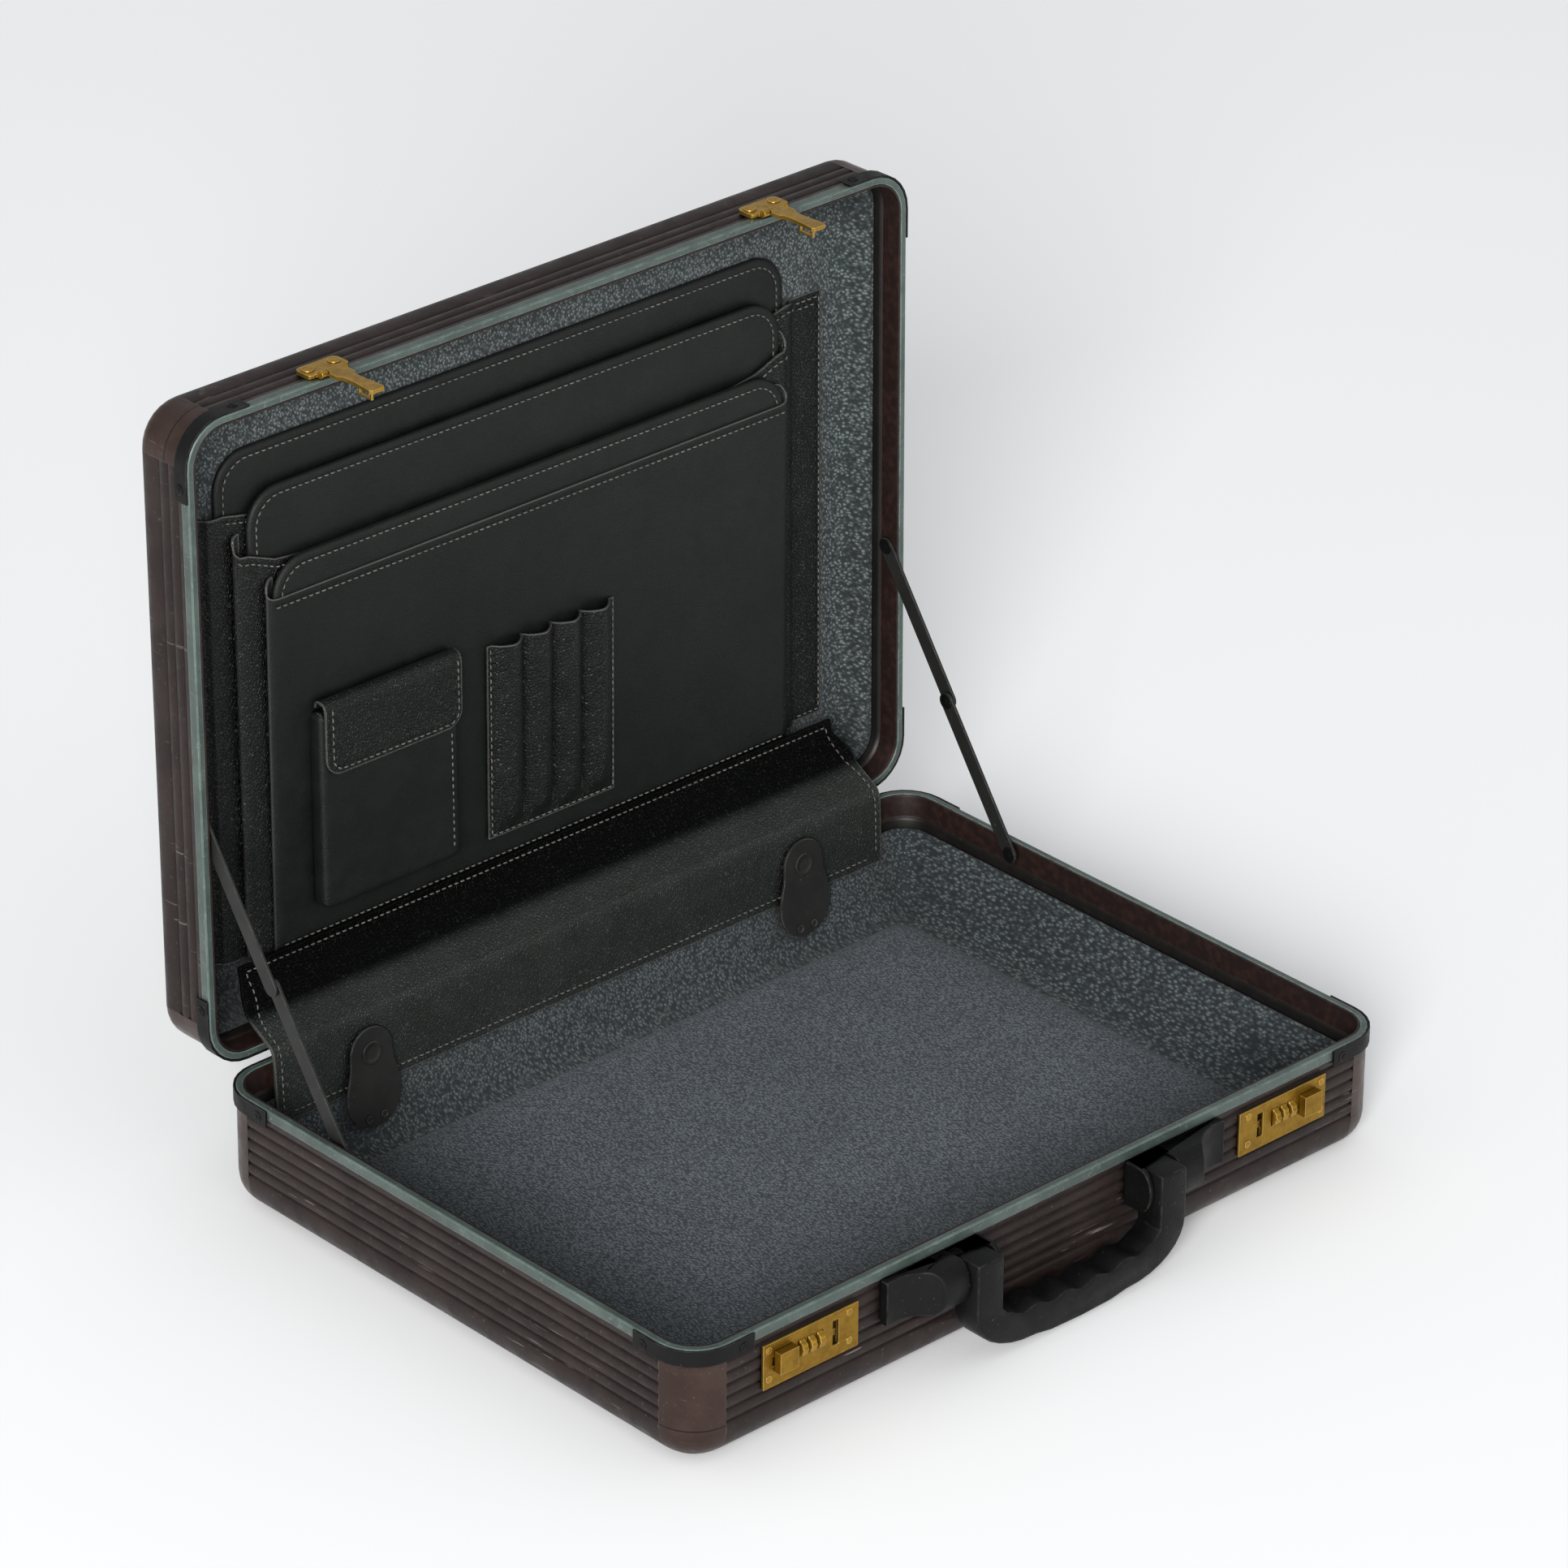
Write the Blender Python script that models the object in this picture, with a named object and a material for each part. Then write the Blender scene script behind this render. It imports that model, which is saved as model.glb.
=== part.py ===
"""Attache case: ribbed aluminium shells, corner posts, combination locks, folding stays and an organiser.

Frame: metres, +X to the right as seen from the handle side, -Y towards the handle, +Z up.
The origin is the centre of the base's underside.  The case stands open, as it is used.
Base pieces and lid pieces are both drawn in the closed position; the lid's pieces then
hang from an empty on the hinge axis, which is turned by the opening angle.
"""

from math import atan2, cos, pi, radians, sin, sqrt

import bmesh
import bpy
from mathutils import Vector

# ---------------------------------------------------------------- driving dimensions (metres)
CASE_WIDTH = 0.460
CASE_DEPTH = 0.340
CORNER_RADIUS = 0.022
BASE_HEIGHT = 0.0635
LID_HEIGHT = 0.0395
WALL = 0.0012
GAP = 0.0003  # clearance between pieces that touch
BASE_EDGE_RADIUS = 0.016  # rounding under the base
LID_EDGE_RADIUS = 0.008  # rounding over the lid, tighter than the base's

RIM_HEIGHT = 0.0056
RIM_WIDTH = 0.0033
RIM_PROUD = 0.0004
GROOVE_PITCH = 0.0066
GROOVE_WIDTH = 0.0013
GROOVE_DEPTH = 0.0008
FIRST_GROOVE = 0.0044  # from the rim band to the middle of the nearest groove
RIB_CROWN = 0.0006  # how far each rib's crown stands above its edges
RIB_SHOULDER = 0.0006  # width of the sloping shoulder beside a groove
BASE_GROOVES = 6
LID_GROOVES = 3

OPEN_ANGLE = radians(90.8)
HINGE_OFFSET = 0.0035  # hinge axis behind the rear wall

HALF_X, HALF_Y = CASE_WIDTH / 2, CASE_DEPTH / 2
RIM_PLANE = BASE_HEIGHT  # the plane where base and lid meet when closed
HINGE_Y = HALF_Y + HINGE_OFFSET
LID_TOP = BASE_HEIGHT + LID_HEIGHT

ARC_STEPS = 7  # straight pieces in each rounded corner


# ---------------------------------------------------------------- scene and materials
def clear_scene():
    for old in list(bpy.data.objects):
        bpy.data.objects.remove(old, do_unlink=True)


def material(name, colour, roughness, metallic):
    mat = bpy.data.materials.new(name)
    mat.use_nodes = True
    shader = mat.node_tree.nodes["Principled BSDF"]
    shader.inputs["Base Color"].default_value = (*colour, 1.0)
    shader.inputs["Roughness"].default_value = roughness
    shader.inputs["Metallic"].default_value = metallic
    mat.diffuse_color = (*colour, 1.0)
    return mat


def make_materials():
    return {
        "brown_aluminium": material("brown_aluminium", (0.042, 0.027, 0.024), 0.45, 0.6),
        "rim_metal": material("rim_metal", (0.14, 0.21, 0.19), 0.40, 0.7),
        "black_metal": material("black_metal", (0.028, 0.029, 0.027), 0.50, 0.5),
        "black_plastic": material("black_plastic", (0.026, 0.027, 0.025), 0.50, 0.0),
        "brass": material("brass", (0.52, 0.33, 0.07), 0.30, 1.0),
        "lining": material("lining", (0.045, 0.060, 0.068), 0.85, 0.0),
        "leather": material("leather", (0.018, 0.021, 0.020), 0.50, 0.0),
        "steel": material("steel", (0.30, 0.30, 0.29), 0.35, 1.0),
    }


clear_scene()
MATERIALS = make_materials()


def empty_at(name, location, parent=None):
    """An empty on a joint's axis, which the joint's pieces hang from."""
    empty = bpy.data.objects.new(name, None)
    bpy.context.collection.objects.link(empty)
    empty.parent = parent
    empty.location = Vector(location) - (parent_origin(parent) if parent else Vector())
    empty["origin"] = tuple(location)
    return empty


def parent_origin(parent):
    return Vector(parent["origin"])


def add_piece(name, bm, mat, parent=None):
    """One named solid.  Its mesh arrives in case coordinates and is moved to its parent's origin."""
    bmesh.ops.remove_doubles(bm, verts=bm.verts, dist=1e-6)
    bmesh.ops.recalc_face_normals(bm, faces=bm.faces)
    if parent:
        bmesh.ops.translate(bm, verts=bm.verts, vec=-parent_origin(parent))
    mesh = bpy.data.meshes.new(name)
    bm.to_mesh(mesh)
    bm.free()
    mesh.shade_smooth()
    mesh.set_sharp_from_angle(angle=radians(35))
    mesh.materials.append(MATERIALS[mat])
    piece = bpy.data.objects.new(name, mesh)
    bpy.context.collection.objects.link(piece)
    piece.parent = parent
    return piece


def combine(piece, bm, operation):
    """Cuts a closed mesh from a piece, or joins it on, with the exact Boolean."""
    bmesh.ops.recalc_face_normals(bm, faces=bm.faces)
    if piece.parent:
        bmesh.ops.translate(bm, verts=bm.verts, vec=-parent_origin(piece.parent))
    mesh = bpy.data.meshes.new(piece.name + "_tool")
    bm.to_mesh(mesh)
    bm.free()
    tool = bpy.data.objects.new(piece.name + "_tool", mesh)
    bpy.context.collection.objects.link(tool)
    tool.parent = piece.parent
    tool.hide_render = True
    tool.display_type = "WIRE"
    modifier = piece.modifiers.new(operation.lower(), "BOOLEAN")
    modifier.operation = operation
    modifier.object = tool
    return piece


def cut(piece, bm):
    return combine(piece, bm, "DIFFERENCE")


def join(piece, bm):
    return combine(piece, bm, "UNION")


def soften(piece, width, segments=2):
    bevel = piece.modifiers.new("bevel", "BEVEL")
    bevel.width = width
    bevel.segments = segments
    bevel.limit_method = "ANGLE"
    bevel.angle_limit = radians(50)
    bevel.use_clamp_overlap = True
    return piece


# ---------------------------------------------------------------- outlines and solids
def arc(cx, cy, radius, start, end, steps):
    """Points on an arc, both ends included; angles in degrees."""
    angles = [radians(start + (end - start) * i / steps) for i in range(steps + 1)]
    return [(cx + radius * cos(a), cy + radius * sin(a)) for a in angles]


def rounded_rect(x0, x1, y0, y1, radii, steps=ARC_STEPS):
    """A rectangle's outline with its own radius at each corner: (x0,y0), (x1,y0), (x1,y1), (x0,y1)."""
    corners = ((x0, y0, 1, 1, 180), (x1, y0, -1, 1, 270), (x1, y1, -1, -1, 0), (x0, y1, 1, -1, 90))
    outline = []
    for (cx, cy, dx, dy, start), r in zip(corners, radii):
        if r:
            outline += arc(cx + dx * r, cy + dy * r, r, start, start + 90, steps)
        else:
            outline.append((cx, cy))
    return outline


def stack(rings):
    """A closed solid through rings of equal length, capped at both ends."""
    bm = bmesh.new()
    rows = [[bm.verts.new(p) for p in ring] for ring in rings]
    count = len(rows[0])
    for low, high in zip(rows, rows[1:]):
        for i in range(count):
            j = (i + 1) % count
            bm.faces.new((low[i], low[j], high[j], high[i]))
    bm.faces.new(rows[0])
    bm.faces.new(rows[-1])
    return bm


def extrude(outline, axis, start, end):
    """A prism along X, Y or Z.  The outline holds the other two coordinates in X, Y, Z order."""
    place = {
        "x": lambda a, b, t: (t, a, b),
        "y": lambda a, b, t: (a, t, b),
        "z": lambda a, b, t: (a, b, t),
    }[axis]
    return stack([[place(a, b, t) for a, b in outline] for t in (start, end)])


def block(x0, x1, y0, y1, z0, z1):
    return extrude([(x0, y0), (x1, y0), (x1, y1), (x0, y1)], "z", z0, z1)


def disc(axis, centre, radius, start, end, sides=20):
    return extrude(arc(*centre, radius, 0, 360 - 360 / sides, sides - 1), axis, start, end)


def perimeter(inset, steps=ARC_STEPS, corner_radius=CORNER_RADIUS):
    """Plan outline of the case, drawn in by the inset, with no corner tighter than 0.5 mm."""
    r = max(corner_radius - inset, 0.0005)
    x, y = HALF_X - inset, HALF_Y - inset
    return rounded_rect(-x, x, -y, y, (r,) * 4, steps)


def ring(section):
    """Sweeps a closed section of (inset, height) points round the whole case."""
    loops = [[(x, y, z) for x, y in perimeter(inset)] for inset, z in section]
    bm = bmesh.new()
    rows = [[bm.verts.new(p) for p in loop] for loop in loops]
    count = len(rows[0])
    for k in range(len(rows)):
        row, following = rows[k], rows[(k + 1) % len(rows)]
        for i in range(count):
            j = (i + 1) % count
            bm.faces.new((row[i], row[j], following[j], following[i]))
    return bm


def side_run(section, side, margin=0.0):
    """Sweeps a section along the straight part of one side, between the corners."""
    if side in ("front", "back"):
        reach = HALF_X - CORNER_RADIUS - margin
        sign = -1 if side == "front" else 1
        points = [[(x, sign * (HALF_Y - u), z) for u, z in section] for x in (-reach, reach)]
    else:
        reach = HALF_Y - CORNER_RADIUS - margin
        sign = -1 if side == "left" else 1
        points = [[(sign * (HALF_X - u), y, z) for u, z in section] for y in (-reach, reach)]
    return stack(points)


def corner_run(section, x_sign, y_sign, legs=0.0, steps=ARC_STEPS):
    """Sweeps a section round one corner, with straight legs of a given length on each side."""
    cx, cy = x_sign * (HALF_X - CORNER_RADIUS), y_sign * (HALF_Y - CORNER_RADIUS)
    rings = []
    for i in range(steps + 1):
        a = radians(90 * i / steps)
        rings.append([
            (cx + x_sign * (CORNER_RADIUS - u) * cos(a), cy + y_sign * (CORNER_RADIUS - u) * sin(a), z)
            for u, z in section
        ])
    if legs:
        rings.insert(0, [(x, y - y_sign * legs, z) for x, y, z in rings[0]])
        rings.append([(x - x_sign * legs, y, z) for x, y, z in rings[-1]])
    return stack(rings)


CORNERS = {
    "front_left": (-1, -1),
    "front_right": (1, -1),
    "back_left": (-1, 1),
    "back_right": (1, 1),
}
SIDES = {"left": -1, "right": 1}

# ---------------------------------------------------------------- joints' empties
HINGE_AXIS = (0.0, HINGE_Y, RIM_PLANE)
lid = empty_at("lid_pivot", HINGE_AXIS)
lid.rotation_euler = (-OPEN_ANGLE, 0, 0)


# ---------------------------------------------------------------- shells
def shell_section(grooves, height, radius, ribbed):
    """Wall section of (inset, distance from the outer flat): ribbed outside, rounded to the flat."""
    top = height - RIM_HEIGHT - GAP
    outer = [(0.0, top)]
    if ribbed:
        for i in range(grooves):
            z = height - RIM_HEIGHT - FIRST_GROOVE - i * GROOVE_PITCH
            lip, shoulder = GROOVE_WIDTH / 2, GROOVE_WIDTH / 2 + RIB_SHOULDER
            outer += [
                (RIB_CROWN / 3, z + shoulder),
                (RIB_CROWN, z + lip),
                (RIB_CROWN + GROOVE_DEPTH, z),
                (RIB_CROWN, z - lip),
                (RIB_CROWN / 3, z - shoulder),
            ]
            if i + 1 < grooves:
                outer.append((0.0, z - GROOVE_PITCH / 2))
    wall = WALL + (GROOVE_DEPTH if ribbed else 0.0)
    outer += [(radius - radius * cos(radians(a)), radius - radius * sin(radians(a))) for a in range(0, 91, 15)]
    inner_radius = radius - wall
    inner = [(radius - inner_radius * cos(radians(a)), radius - inner_radius * sin(radians(a)))
             for a in range(90, -1, -15)]
    inner.append((wall, top))
    return outer + inner


def in_base(section):
    return list(section)


def in_lid(section):
    """The same section seen from the lid's outer flat, counted down from the lid's top."""
    return [(u, LID_TOP - z) for u, z in section]


def build_shell(prefix, grooves, height, radius, place, parent):
    ribbed = place(shell_section(grooves, height, radius, True))
    smooth = place(shell_section(grooves, height, radius, False))
    for side in ("front", "back", "left", "right"):
        bm = side_run(ribbed, side, GAP / 2)
        add_piece(f"{prefix}_rail_{side}", bm, "brown_aluminium", parent)
    for name, (sx, sy) in CORNERS.items():
        bm = corner_run(smooth, sx, sy)
        add_piece(f"{prefix}_corner_{name}", bm, "brown_aluminium", parent)
    flat = perimeter(radius + GAP)
    low, high = sorted(z for _, z in place([(0, 0.0), (0, WALL)]))
    add_piece(f"{prefix}_panel", extrude(flat, "z", low, high), "brown_aluminium", parent)


def rim_section(face, ridge, end):
    """Frame extrusion: outer band, flat meeting face, lip, inner wall with a ridge standing in.

    face is 1 for the base, whose frame hangs below the meeting plane, and -1 for the lid.
    """
    edge = RIM_PLANE - face * GAP / 2
    lip = RIM_WIDTH + GAP
    foot = RIM_HEIGHT - GAP
    section = [
        (-RIM_PROUD, foot),
        (-RIM_PROUD, 0.0005),
        (0.0001, 0.0),
        (RIM_WIDTH - 0.0003, 0.0),
        (RIM_WIDTH, 0.0006),
        (lip, 0.0002),
        (lip + 0.0008, 0.0002),
        (lip + 0.0011, 0.0012),
        (lip + 0.0011, ridge - 0.0012),
        (lip + 0.0020, ridge - 0.0004),
        (lip + 0.0024, ridge + 0.0006),
        (lip + 0.0024, end),
        (lip + 0.0014, end),
        (lip + 0.0014, ridge + 0.0014),
        (lip, ridge - 0.0002),
        (lip, foot),
    ]
    return [(inset, edge - face * depth) for inset, depth in section]


def bracket_section(face):
    """Sheet bracket folded over the rim's outer edge at a corner."""
    s = face
    edge = RIM_PLANE - s * GAP / 2
    outside = -RIM_PROUD - GAP
    return [
        (outside, edge - s * 0.0002),
        (outside, edge - s * (RIM_HEIGHT + 0.0030)),
        (outside - 0.0009, edge - s * (RIM_HEIGHT + 0.0030)),
        (outside - 0.0009, edge - s * 0.0002),
    ]


BRACKET_LEG = 0.016


def build_rims():
    for prefix, face, ridge, end, parent in (
        ("base", 1, 0.0135, 0.0190, None),
        ("lid", -1, 0.0128, 0.0190, lid),
    ):
        add_piece(f"{prefix}_rim", ring(rim_section(face, ridge, end)), "rim_metal", parent)
        for name, (sx, sy) in CORNERS.items():
            bm = corner_run(bracket_section(face), sx, sy, legs=BRACKET_LEG)
            add_piece(f"{prefix}_bracket_{name}", bm, "black_metal", parent)


# ---------------------------------------------------------------- linings
LINING = 0.0012
BASE_LINING_TOP = 0.0455
LID_LINING_EDGE = RIM_PLANE + 0.0178


def tub_section(edge_height, floor_height, top_inset, foot_inset, fillet, steps=5):
    """Half section of a soft tub, from its edge down a leaning side and round to its floor."""
    drop = edge_height - floor_height
    slope = (foot_inset - top_inset) / drop
    knee = floor_height + fillet
    knee_inset = top_inset + slope * (edge_height - knee)
    points = [(top_inset, edge_height)]
    for i in range(steps + 1):
        a = pi / 2 * i / steps
        points.append((knee_inset + (1 - cos(a)) * fillet, knee - fillet * sin(a)))
    return points


def build_lining(name, outer, thickness, mirror, parent):
    """An open tub: the outer half section, and the same moved in by the thickness."""
    inner = [(u + thickness, z + (thickness if k else 0.0)) for k, (u, z) in enumerate(outer)]
    rows = outer[::-1] + inner
    rings = [[(x, y, mirror(z)) for x, y in perimeter(u)] for u, z in rows]
    add_piece(name, stack(rings), "lining", parent)


def build_linings():
    top_inset = RIM_WIDTH + GAP + 0.0024 + GAP
    base = tub_section(BASE_LINING_TOP, WALL + GAP, top_inset, 0.0105, 0.018)
    build_lining("base_lining", base, LINING, lambda z: z, None)
    depth = LID_TOP - LID_LINING_EDGE
    lid_tub = tub_section(depth, WALL + GAP, top_inset, 0.0095, 0.014)
    build_lining("lid_lining", lid_tub, LINING, lambda z: LID_TOP - z, lid)


# ---------------------------------------------------------------- locks
LOCK_X = 0.1566
LOCK_Z = 0.0411
LOCK_HALF = (0.0300, 0.0120)
LOCK_FACE = HALF_Y + GAP  # plate's back, in front of the ribs
LOCK_PLATE = 0.0013
SLOT_X = 0.1410
SLOT = (0.0038, 0.0132)
SLOT_Z = 0.0419
DIAL_X = (0.1513, 0.1568, 0.1623)
DIAL_Z = 0.0426
DIAL_RADIUS = 0.0046
DIAL_WIDTH = 0.0042
DIAL_BACK = 0.0001  # dial axis behind the rib crowns
DIAL_SIDES = 20
DIAL_KNURL = 0.0005
DIAL_WINDOW = 0.0047  # half height of the window round each dial
BUTTON_X = (0.1681, 0.1797)
BUTTON_Z = (0.0369, 0.0480)
BUTTON_PROUD = 0.0041
BUTTON_TRAVEL = 0.0030
BUTTON_AXIS_Z = 0.0424
BUTTON_SLOT_Z = (0.0400, 0.0450)
STEM_MARGIN = 0.0023  # from the button's sides to its stem's
STEM_Z = (0.0403, 0.0447)
SLIDE_FRONT, SLIDE_BACK = HALF_Y - 0.0002, HALF_Y - 0.0012  # latch slide's faces, behind the plate
SLIDE_FOOT_Z = (0.0320, 0.0358)
HOOK_X, HOOK_Z = (0.1396, 0.1458), (0.0395, 0.0430)  # the slide's end, which holds the hasp's staple
FINGER_X = (0.1430, HOOK_X[1])
OVERLAP = 0.0001  # how far the slide's blocks are let into each other
WORKING_X, WORKING_Z = (0.1375, 0.1812), (0.0312, 0.0492)  # opening in the wall behind the plate


def mirrored_block(s, x0, x1, y0, y1, z0, z1):
    """A block whose X is counted outwards and whose Y is counted towards the front."""
    a, b = sorted((s * x0, s * x1))
    c, d = sorted((-y0, -y1))
    return block(a, b, c, d, z0, z1)


def build_lock(side, s):
    front = LOCK_FACE + LOCK_PLATE
    x0, x1 = LOCK_X - LOCK_HALF[0], LOCK_X + LOCK_HALF[0]
    z0, z1 = LOCK_Z - LOCK_HALF[1], LOCK_Z + LOCK_HALF[1]
    plate = add_piece(f"lock_plate_{side}", mirrored_block(s, x0, x1, LOCK_FACE, front, z0, z1), "brass")
    deep, proud = LOCK_FACE - 0.002, front + 0.002
    holes = [(SLOT_X - SLOT[0] / 2, SLOT_X + SLOT[0] / 2, SLOT_Z - SLOT[1] / 2, SLOT_Z + SLOT[1] / 2)]
    half = DIAL_WIDTH / 2
    holes += [(x - half - GAP, x + half + GAP, DIAL_Z - DIAL_WINDOW, DIAL_Z + DIAL_WINDOW) for x in DIAL_X]
    stem_x = (BUTTON_X[0] + STEM_MARGIN, BUTTON_X[1] - STEM_MARGIN)
    holes.append((stem_x[0] - GAP, stem_x[1] + GAP + BUTTON_TRAVEL, *BUTTON_SLOT_Z))
    for hx0, hx1, hz0, hz1 in holes:
        cut(plate, mirrored_block(s, hx0, hx1, deep, proud, hz0, hz1))
    for i, x in enumerate(DIAL_X, start=1):
        axis = empty_at(f"dial_axis_{side}_{i}", (s * x, -(HALF_Y - DIAL_BACK), DIAL_Z))
        rim = []
        for k in range(DIAL_SIDES):
            a, radius = 2 * pi * k / DIAL_SIDES, DIAL_RADIUS - DIAL_KNURL * (k % 2)
            rim.append((-HALF_Y + DIAL_BACK + radius * cos(a), DIAL_Z + radius * sin(a)))
        add_piece(f"dial_{side}_{i}", extrude(rim, "x", s * x - half, s * x + half), "brass", axis)
    button_axis = empty_at(f"button_axis_{side}", (s * sum(BUTTON_X) / 2, -front, BUTTON_AXIS_Z))
    low, high = front + GAP, front + GAP + BUTTON_PROUD
    button = add_piece(f"lock_button_{side}", mirrored_block(s, *BUTTON_X, low, high, *BUTTON_Z),
                       "brass", button_axis)
    slide = (SLIDE_FRONT, SLIDE_BACK)
    foot = (SLIDE_FOOT_Z[0] + OVERLAP, HOOK_Z[1])
    join(button, mirrored_block(s, *stem_x, SLIDE_BACK + OVERLAP, low + BUTTON_PROUD / 4, *STEM_Z))
    join(button, mirrored_block(s, *stem_x, *slide, SLIDE_FOOT_Z[0], STEM_Z[1] - OVERLAP))
    join(button, mirrored_block(s, FINGER_X[0], stem_x[1] - OVERLAP, *slide, *SLIDE_FOOT_Z))
    join(button, mirrored_block(s, *FINGER_X, *slide, *foot))
    join(button, mirrored_block(s, HOOK_X[0], HOOK_X[1] - OVERLAP, *slide, HOOK_Z[0], HOOK_Z[1] - OVERLAP))


def cut_lock_windows():
    """The front wall is open behind each lock, where the dials, latch slide and staple work."""
    rail = bpy.data.objects["base_rail_front"]
    for s in SIDES.values():
        cut(rail, mirrored_block(s, *WORKING_X, HALF_Y - 0.006, HALF_Y + 0.004, *WORKING_Z))


# ---------------------------------------------------------------- hasps
HASP_X = SLOT_X
HASP_PIVOT_Z = RIM_PLANE + 0.0010
HASP_FACE = HALF_Y + RIM_PROUD + GAP
HASP_PIVOT_Y = HASP_FACE + 0.0022
KNUCKLE = 0.0019
KNUCKLE_X = (0.0042, 0.0078)  # ends of the base's two knuckles, from the hasp's middle
HASP_PLATE_HALF = 0.0125
HASP_PLATE_Z = (RIM_PLANE + 0.0034, RIM_PLANE + 0.0150)
HASP_PLATE = 0.0021
TONGUE_HALF = 0.0039
TONGUE_SHAPE = (
    # half width, distance below the pivot
    (TONGUE_HALF, 0.0), (TONGUE_HALF, 0.0030), (0.0055, 0.0040), (0.0055, 0.0090),
    (0.0034, 0.0125), (0.0034, 0.0200), (0.0044, 0.0315), (0.0034, 0.0330),
)
STAPLE_Z = (0.0360, 0.0460)
STAPLE_WIRE = 0.0012


def build_hasp(side, s):
    x = s * HASP_X
    outline = rounded_rect(x - HASP_PLATE_HALF, x + HASP_PLATE_HALF, *HASP_PLATE_Z,
                           (0.002, 0.002, 0.003, 0.003), 3)
    base = add_piece(f"hasp_base_{side}",
                     extrude(outline, "y", -HASP_FACE - HASP_PLATE, -HASP_FACE), "brass", lid)
    axis = (-HASP_PIVOT_Y, HASP_PIVOT_Z)
    for way in (-1, 1):
        ends = sorted((x + way * KNUCKLE_X[0], x + way * KNUCKLE_X[1]))
        join(base, disc("x", axis, KNUCKLE, *ends, sides=12))
        join(base, block(*ends, -HASP_PIVOT_Y - 0.0006, -HASP_FACE, HASP_PIVOT_Z, HASP_PLATE_Z[0] + 0.001))
    pivot = empty_at(f"hasp_pivot_{side}", (x, *axis), lid)
    tongue = add_piece(f"hasp_tongue_{side}",
                       disc("x", axis, KNUCKLE, x - TONGUE_HALF, x + TONGUE_HALF, sides=12), "brass", pivot)
    blade = [(x + half, HASP_PIVOT_Z - drop) for half, drop in TONGUE_SHAPE]
    blade += [(x - half, HASP_PIVOT_Z - drop) for half, drop in reversed(TONGUE_SHAPE)]
    join(tongue, extrude(blade, "y", -HASP_PIVOT_Y - 0.0016, -HASP_PIVOT_Y + 0.0004))
    x0, x1 = x - STAPLE_WIRE / 2, x + STAPLE_WIRE / 2
    low, high = STAPLE_Z
    inner, outer = -HASP_PIVOT_Y, -HALF_Y + 0.0030
    for z0, z1 in ((low, low + STAPLE_WIRE), (high - STAPLE_WIRE, high)):
        join(tongue, block(x0, x1, inner, outer, z0, z1))
    join(tongue, block(x0, x1, outer - STAPLE_WIRE + OVERLAP, outer, low, high))


# ---------------------------------------------------------------- handle
HANDLE_PIVOT = (-(HALF_Y + 0.0142), 0.0475)  # Y, Z
HANDLE_ARM = (0.0520, 0.0695)  # inner and outer face of each arm, from the middle
HANDLE_HALF = 0.0084
HANDLE_TOP = 0.0570
HANDLE_BOTTOM = 0.0012
GRIP_TOP = 0.0190
GRIP_SAG = 0.0035  # how much the grip's ends lie above its middle
GRIP_WAVE = 0.0014
ARM_FOOT = GRIP_TOP + 0.0085  # where each arm's inner face turns into the grip
BEND_TOP, BEND_INNER = 0.0290, 0.0300  # the outer bend's upper end, and its distance from the middle
FINGER_GROOVES = 5
MOUNT_X = (0.0485, 0.1120)
MOUNT_Z = (0.0340, 0.0577)
MOUNT_DEPTH = 0.0180
SCOOP_RADIUS = 0.0220


def handle_outline():
    """Front view: two arms, a curved underside and a grip with finger grooves."""
    inner, outer = HANDLE_ARM
    outline = [(-outer, HANDLE_TOP), (-inner, HANDLE_TOP), (-inner, ARM_FOOT)]
    reach = inner - GRIP_SAG
    samples = 8 * FINGER_GROOVES
    for i in range(samples + 1):
        t = -1 + 2 * i / samples
        sag = GRIP_SAG * t * t
        wave = GRIP_WAVE * cos(pi * FINGER_GROOVES * (t + 1))
        outline.append((t * reach, GRIP_TOP + sag + wave))
    outline += [(inner, ARM_FOOT), (inner, HANDLE_TOP), (outer, HANDLE_TOP)]
    bend = [(outer, BEND_TOP)]
    for i in range(1, 9):
        a = radians(90 * i / 8)
        bend.append((BEND_INNER + (outer - BEND_INNER) * cos(a) ** 0.9, BEND_TOP - 0.0255 * sin(a)))
    under = [(0.0200, 0.0018), (0.0, HANDLE_BOTTOM), (-0.0200, 0.0018)]
    return outline + bend + under + [(-x, z) for x, z in reversed(bend)]


def build_handle():
    pivot = empty_at("handle_pivot", (0.0, *HANDLE_PIVOT))
    y = HANDLE_PIVOT[0]
    bm = extrude(handle_outline(), "y", y - HANDLE_HALF, y + HANDLE_HALF)
    soften(add_piece("handle_grip", bm, "black_plastic", pivot), 0.0022)


def build_handle_mount(side, s):
    """A half-round boss along X with a thumb scoop at its outer end and a slot for the handle's arm."""
    back = -(HALF_Y + GAP)
    z0, z1 = MOUNT_Z
    mid, half = (z0 + z1) / 2, (z1 - z0) / 2
    depth = MOUNT_DEPTH
    round_front = [(back - depth + half * 0.62 * (1 - sin(radians(a))), mid + half * cos(radians(a)))
                   for a in range(0, 181, 18)]
    profile = [(back, z1)] + round_front + [(back, z0)]
    x0, x1 = sorted((s * MOUNT_X[0], s * MOUNT_X[1]))
    mount = add_piece(f"handle_mount_{side}", extrude(profile, "x", x0, x1), "black_plastic")
    slot = (HANDLE_ARM[0] - 0.0006, HANDLE_ARM[1] + 0.0006)
    cut(mount, mirrored_block(s, *slot, HALF_Y + 0.0019, HALF_Y + 0.03, 0.020, 0.070))
    scoop = disc("z", (s * (MOUNT_X[1] - 0.006), back - 0.0045 - SCOOP_RADIUS), SCOOP_RADIUS,
                 0.020, 0.070, sides=36)
    cut(mount, scoop)


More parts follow.
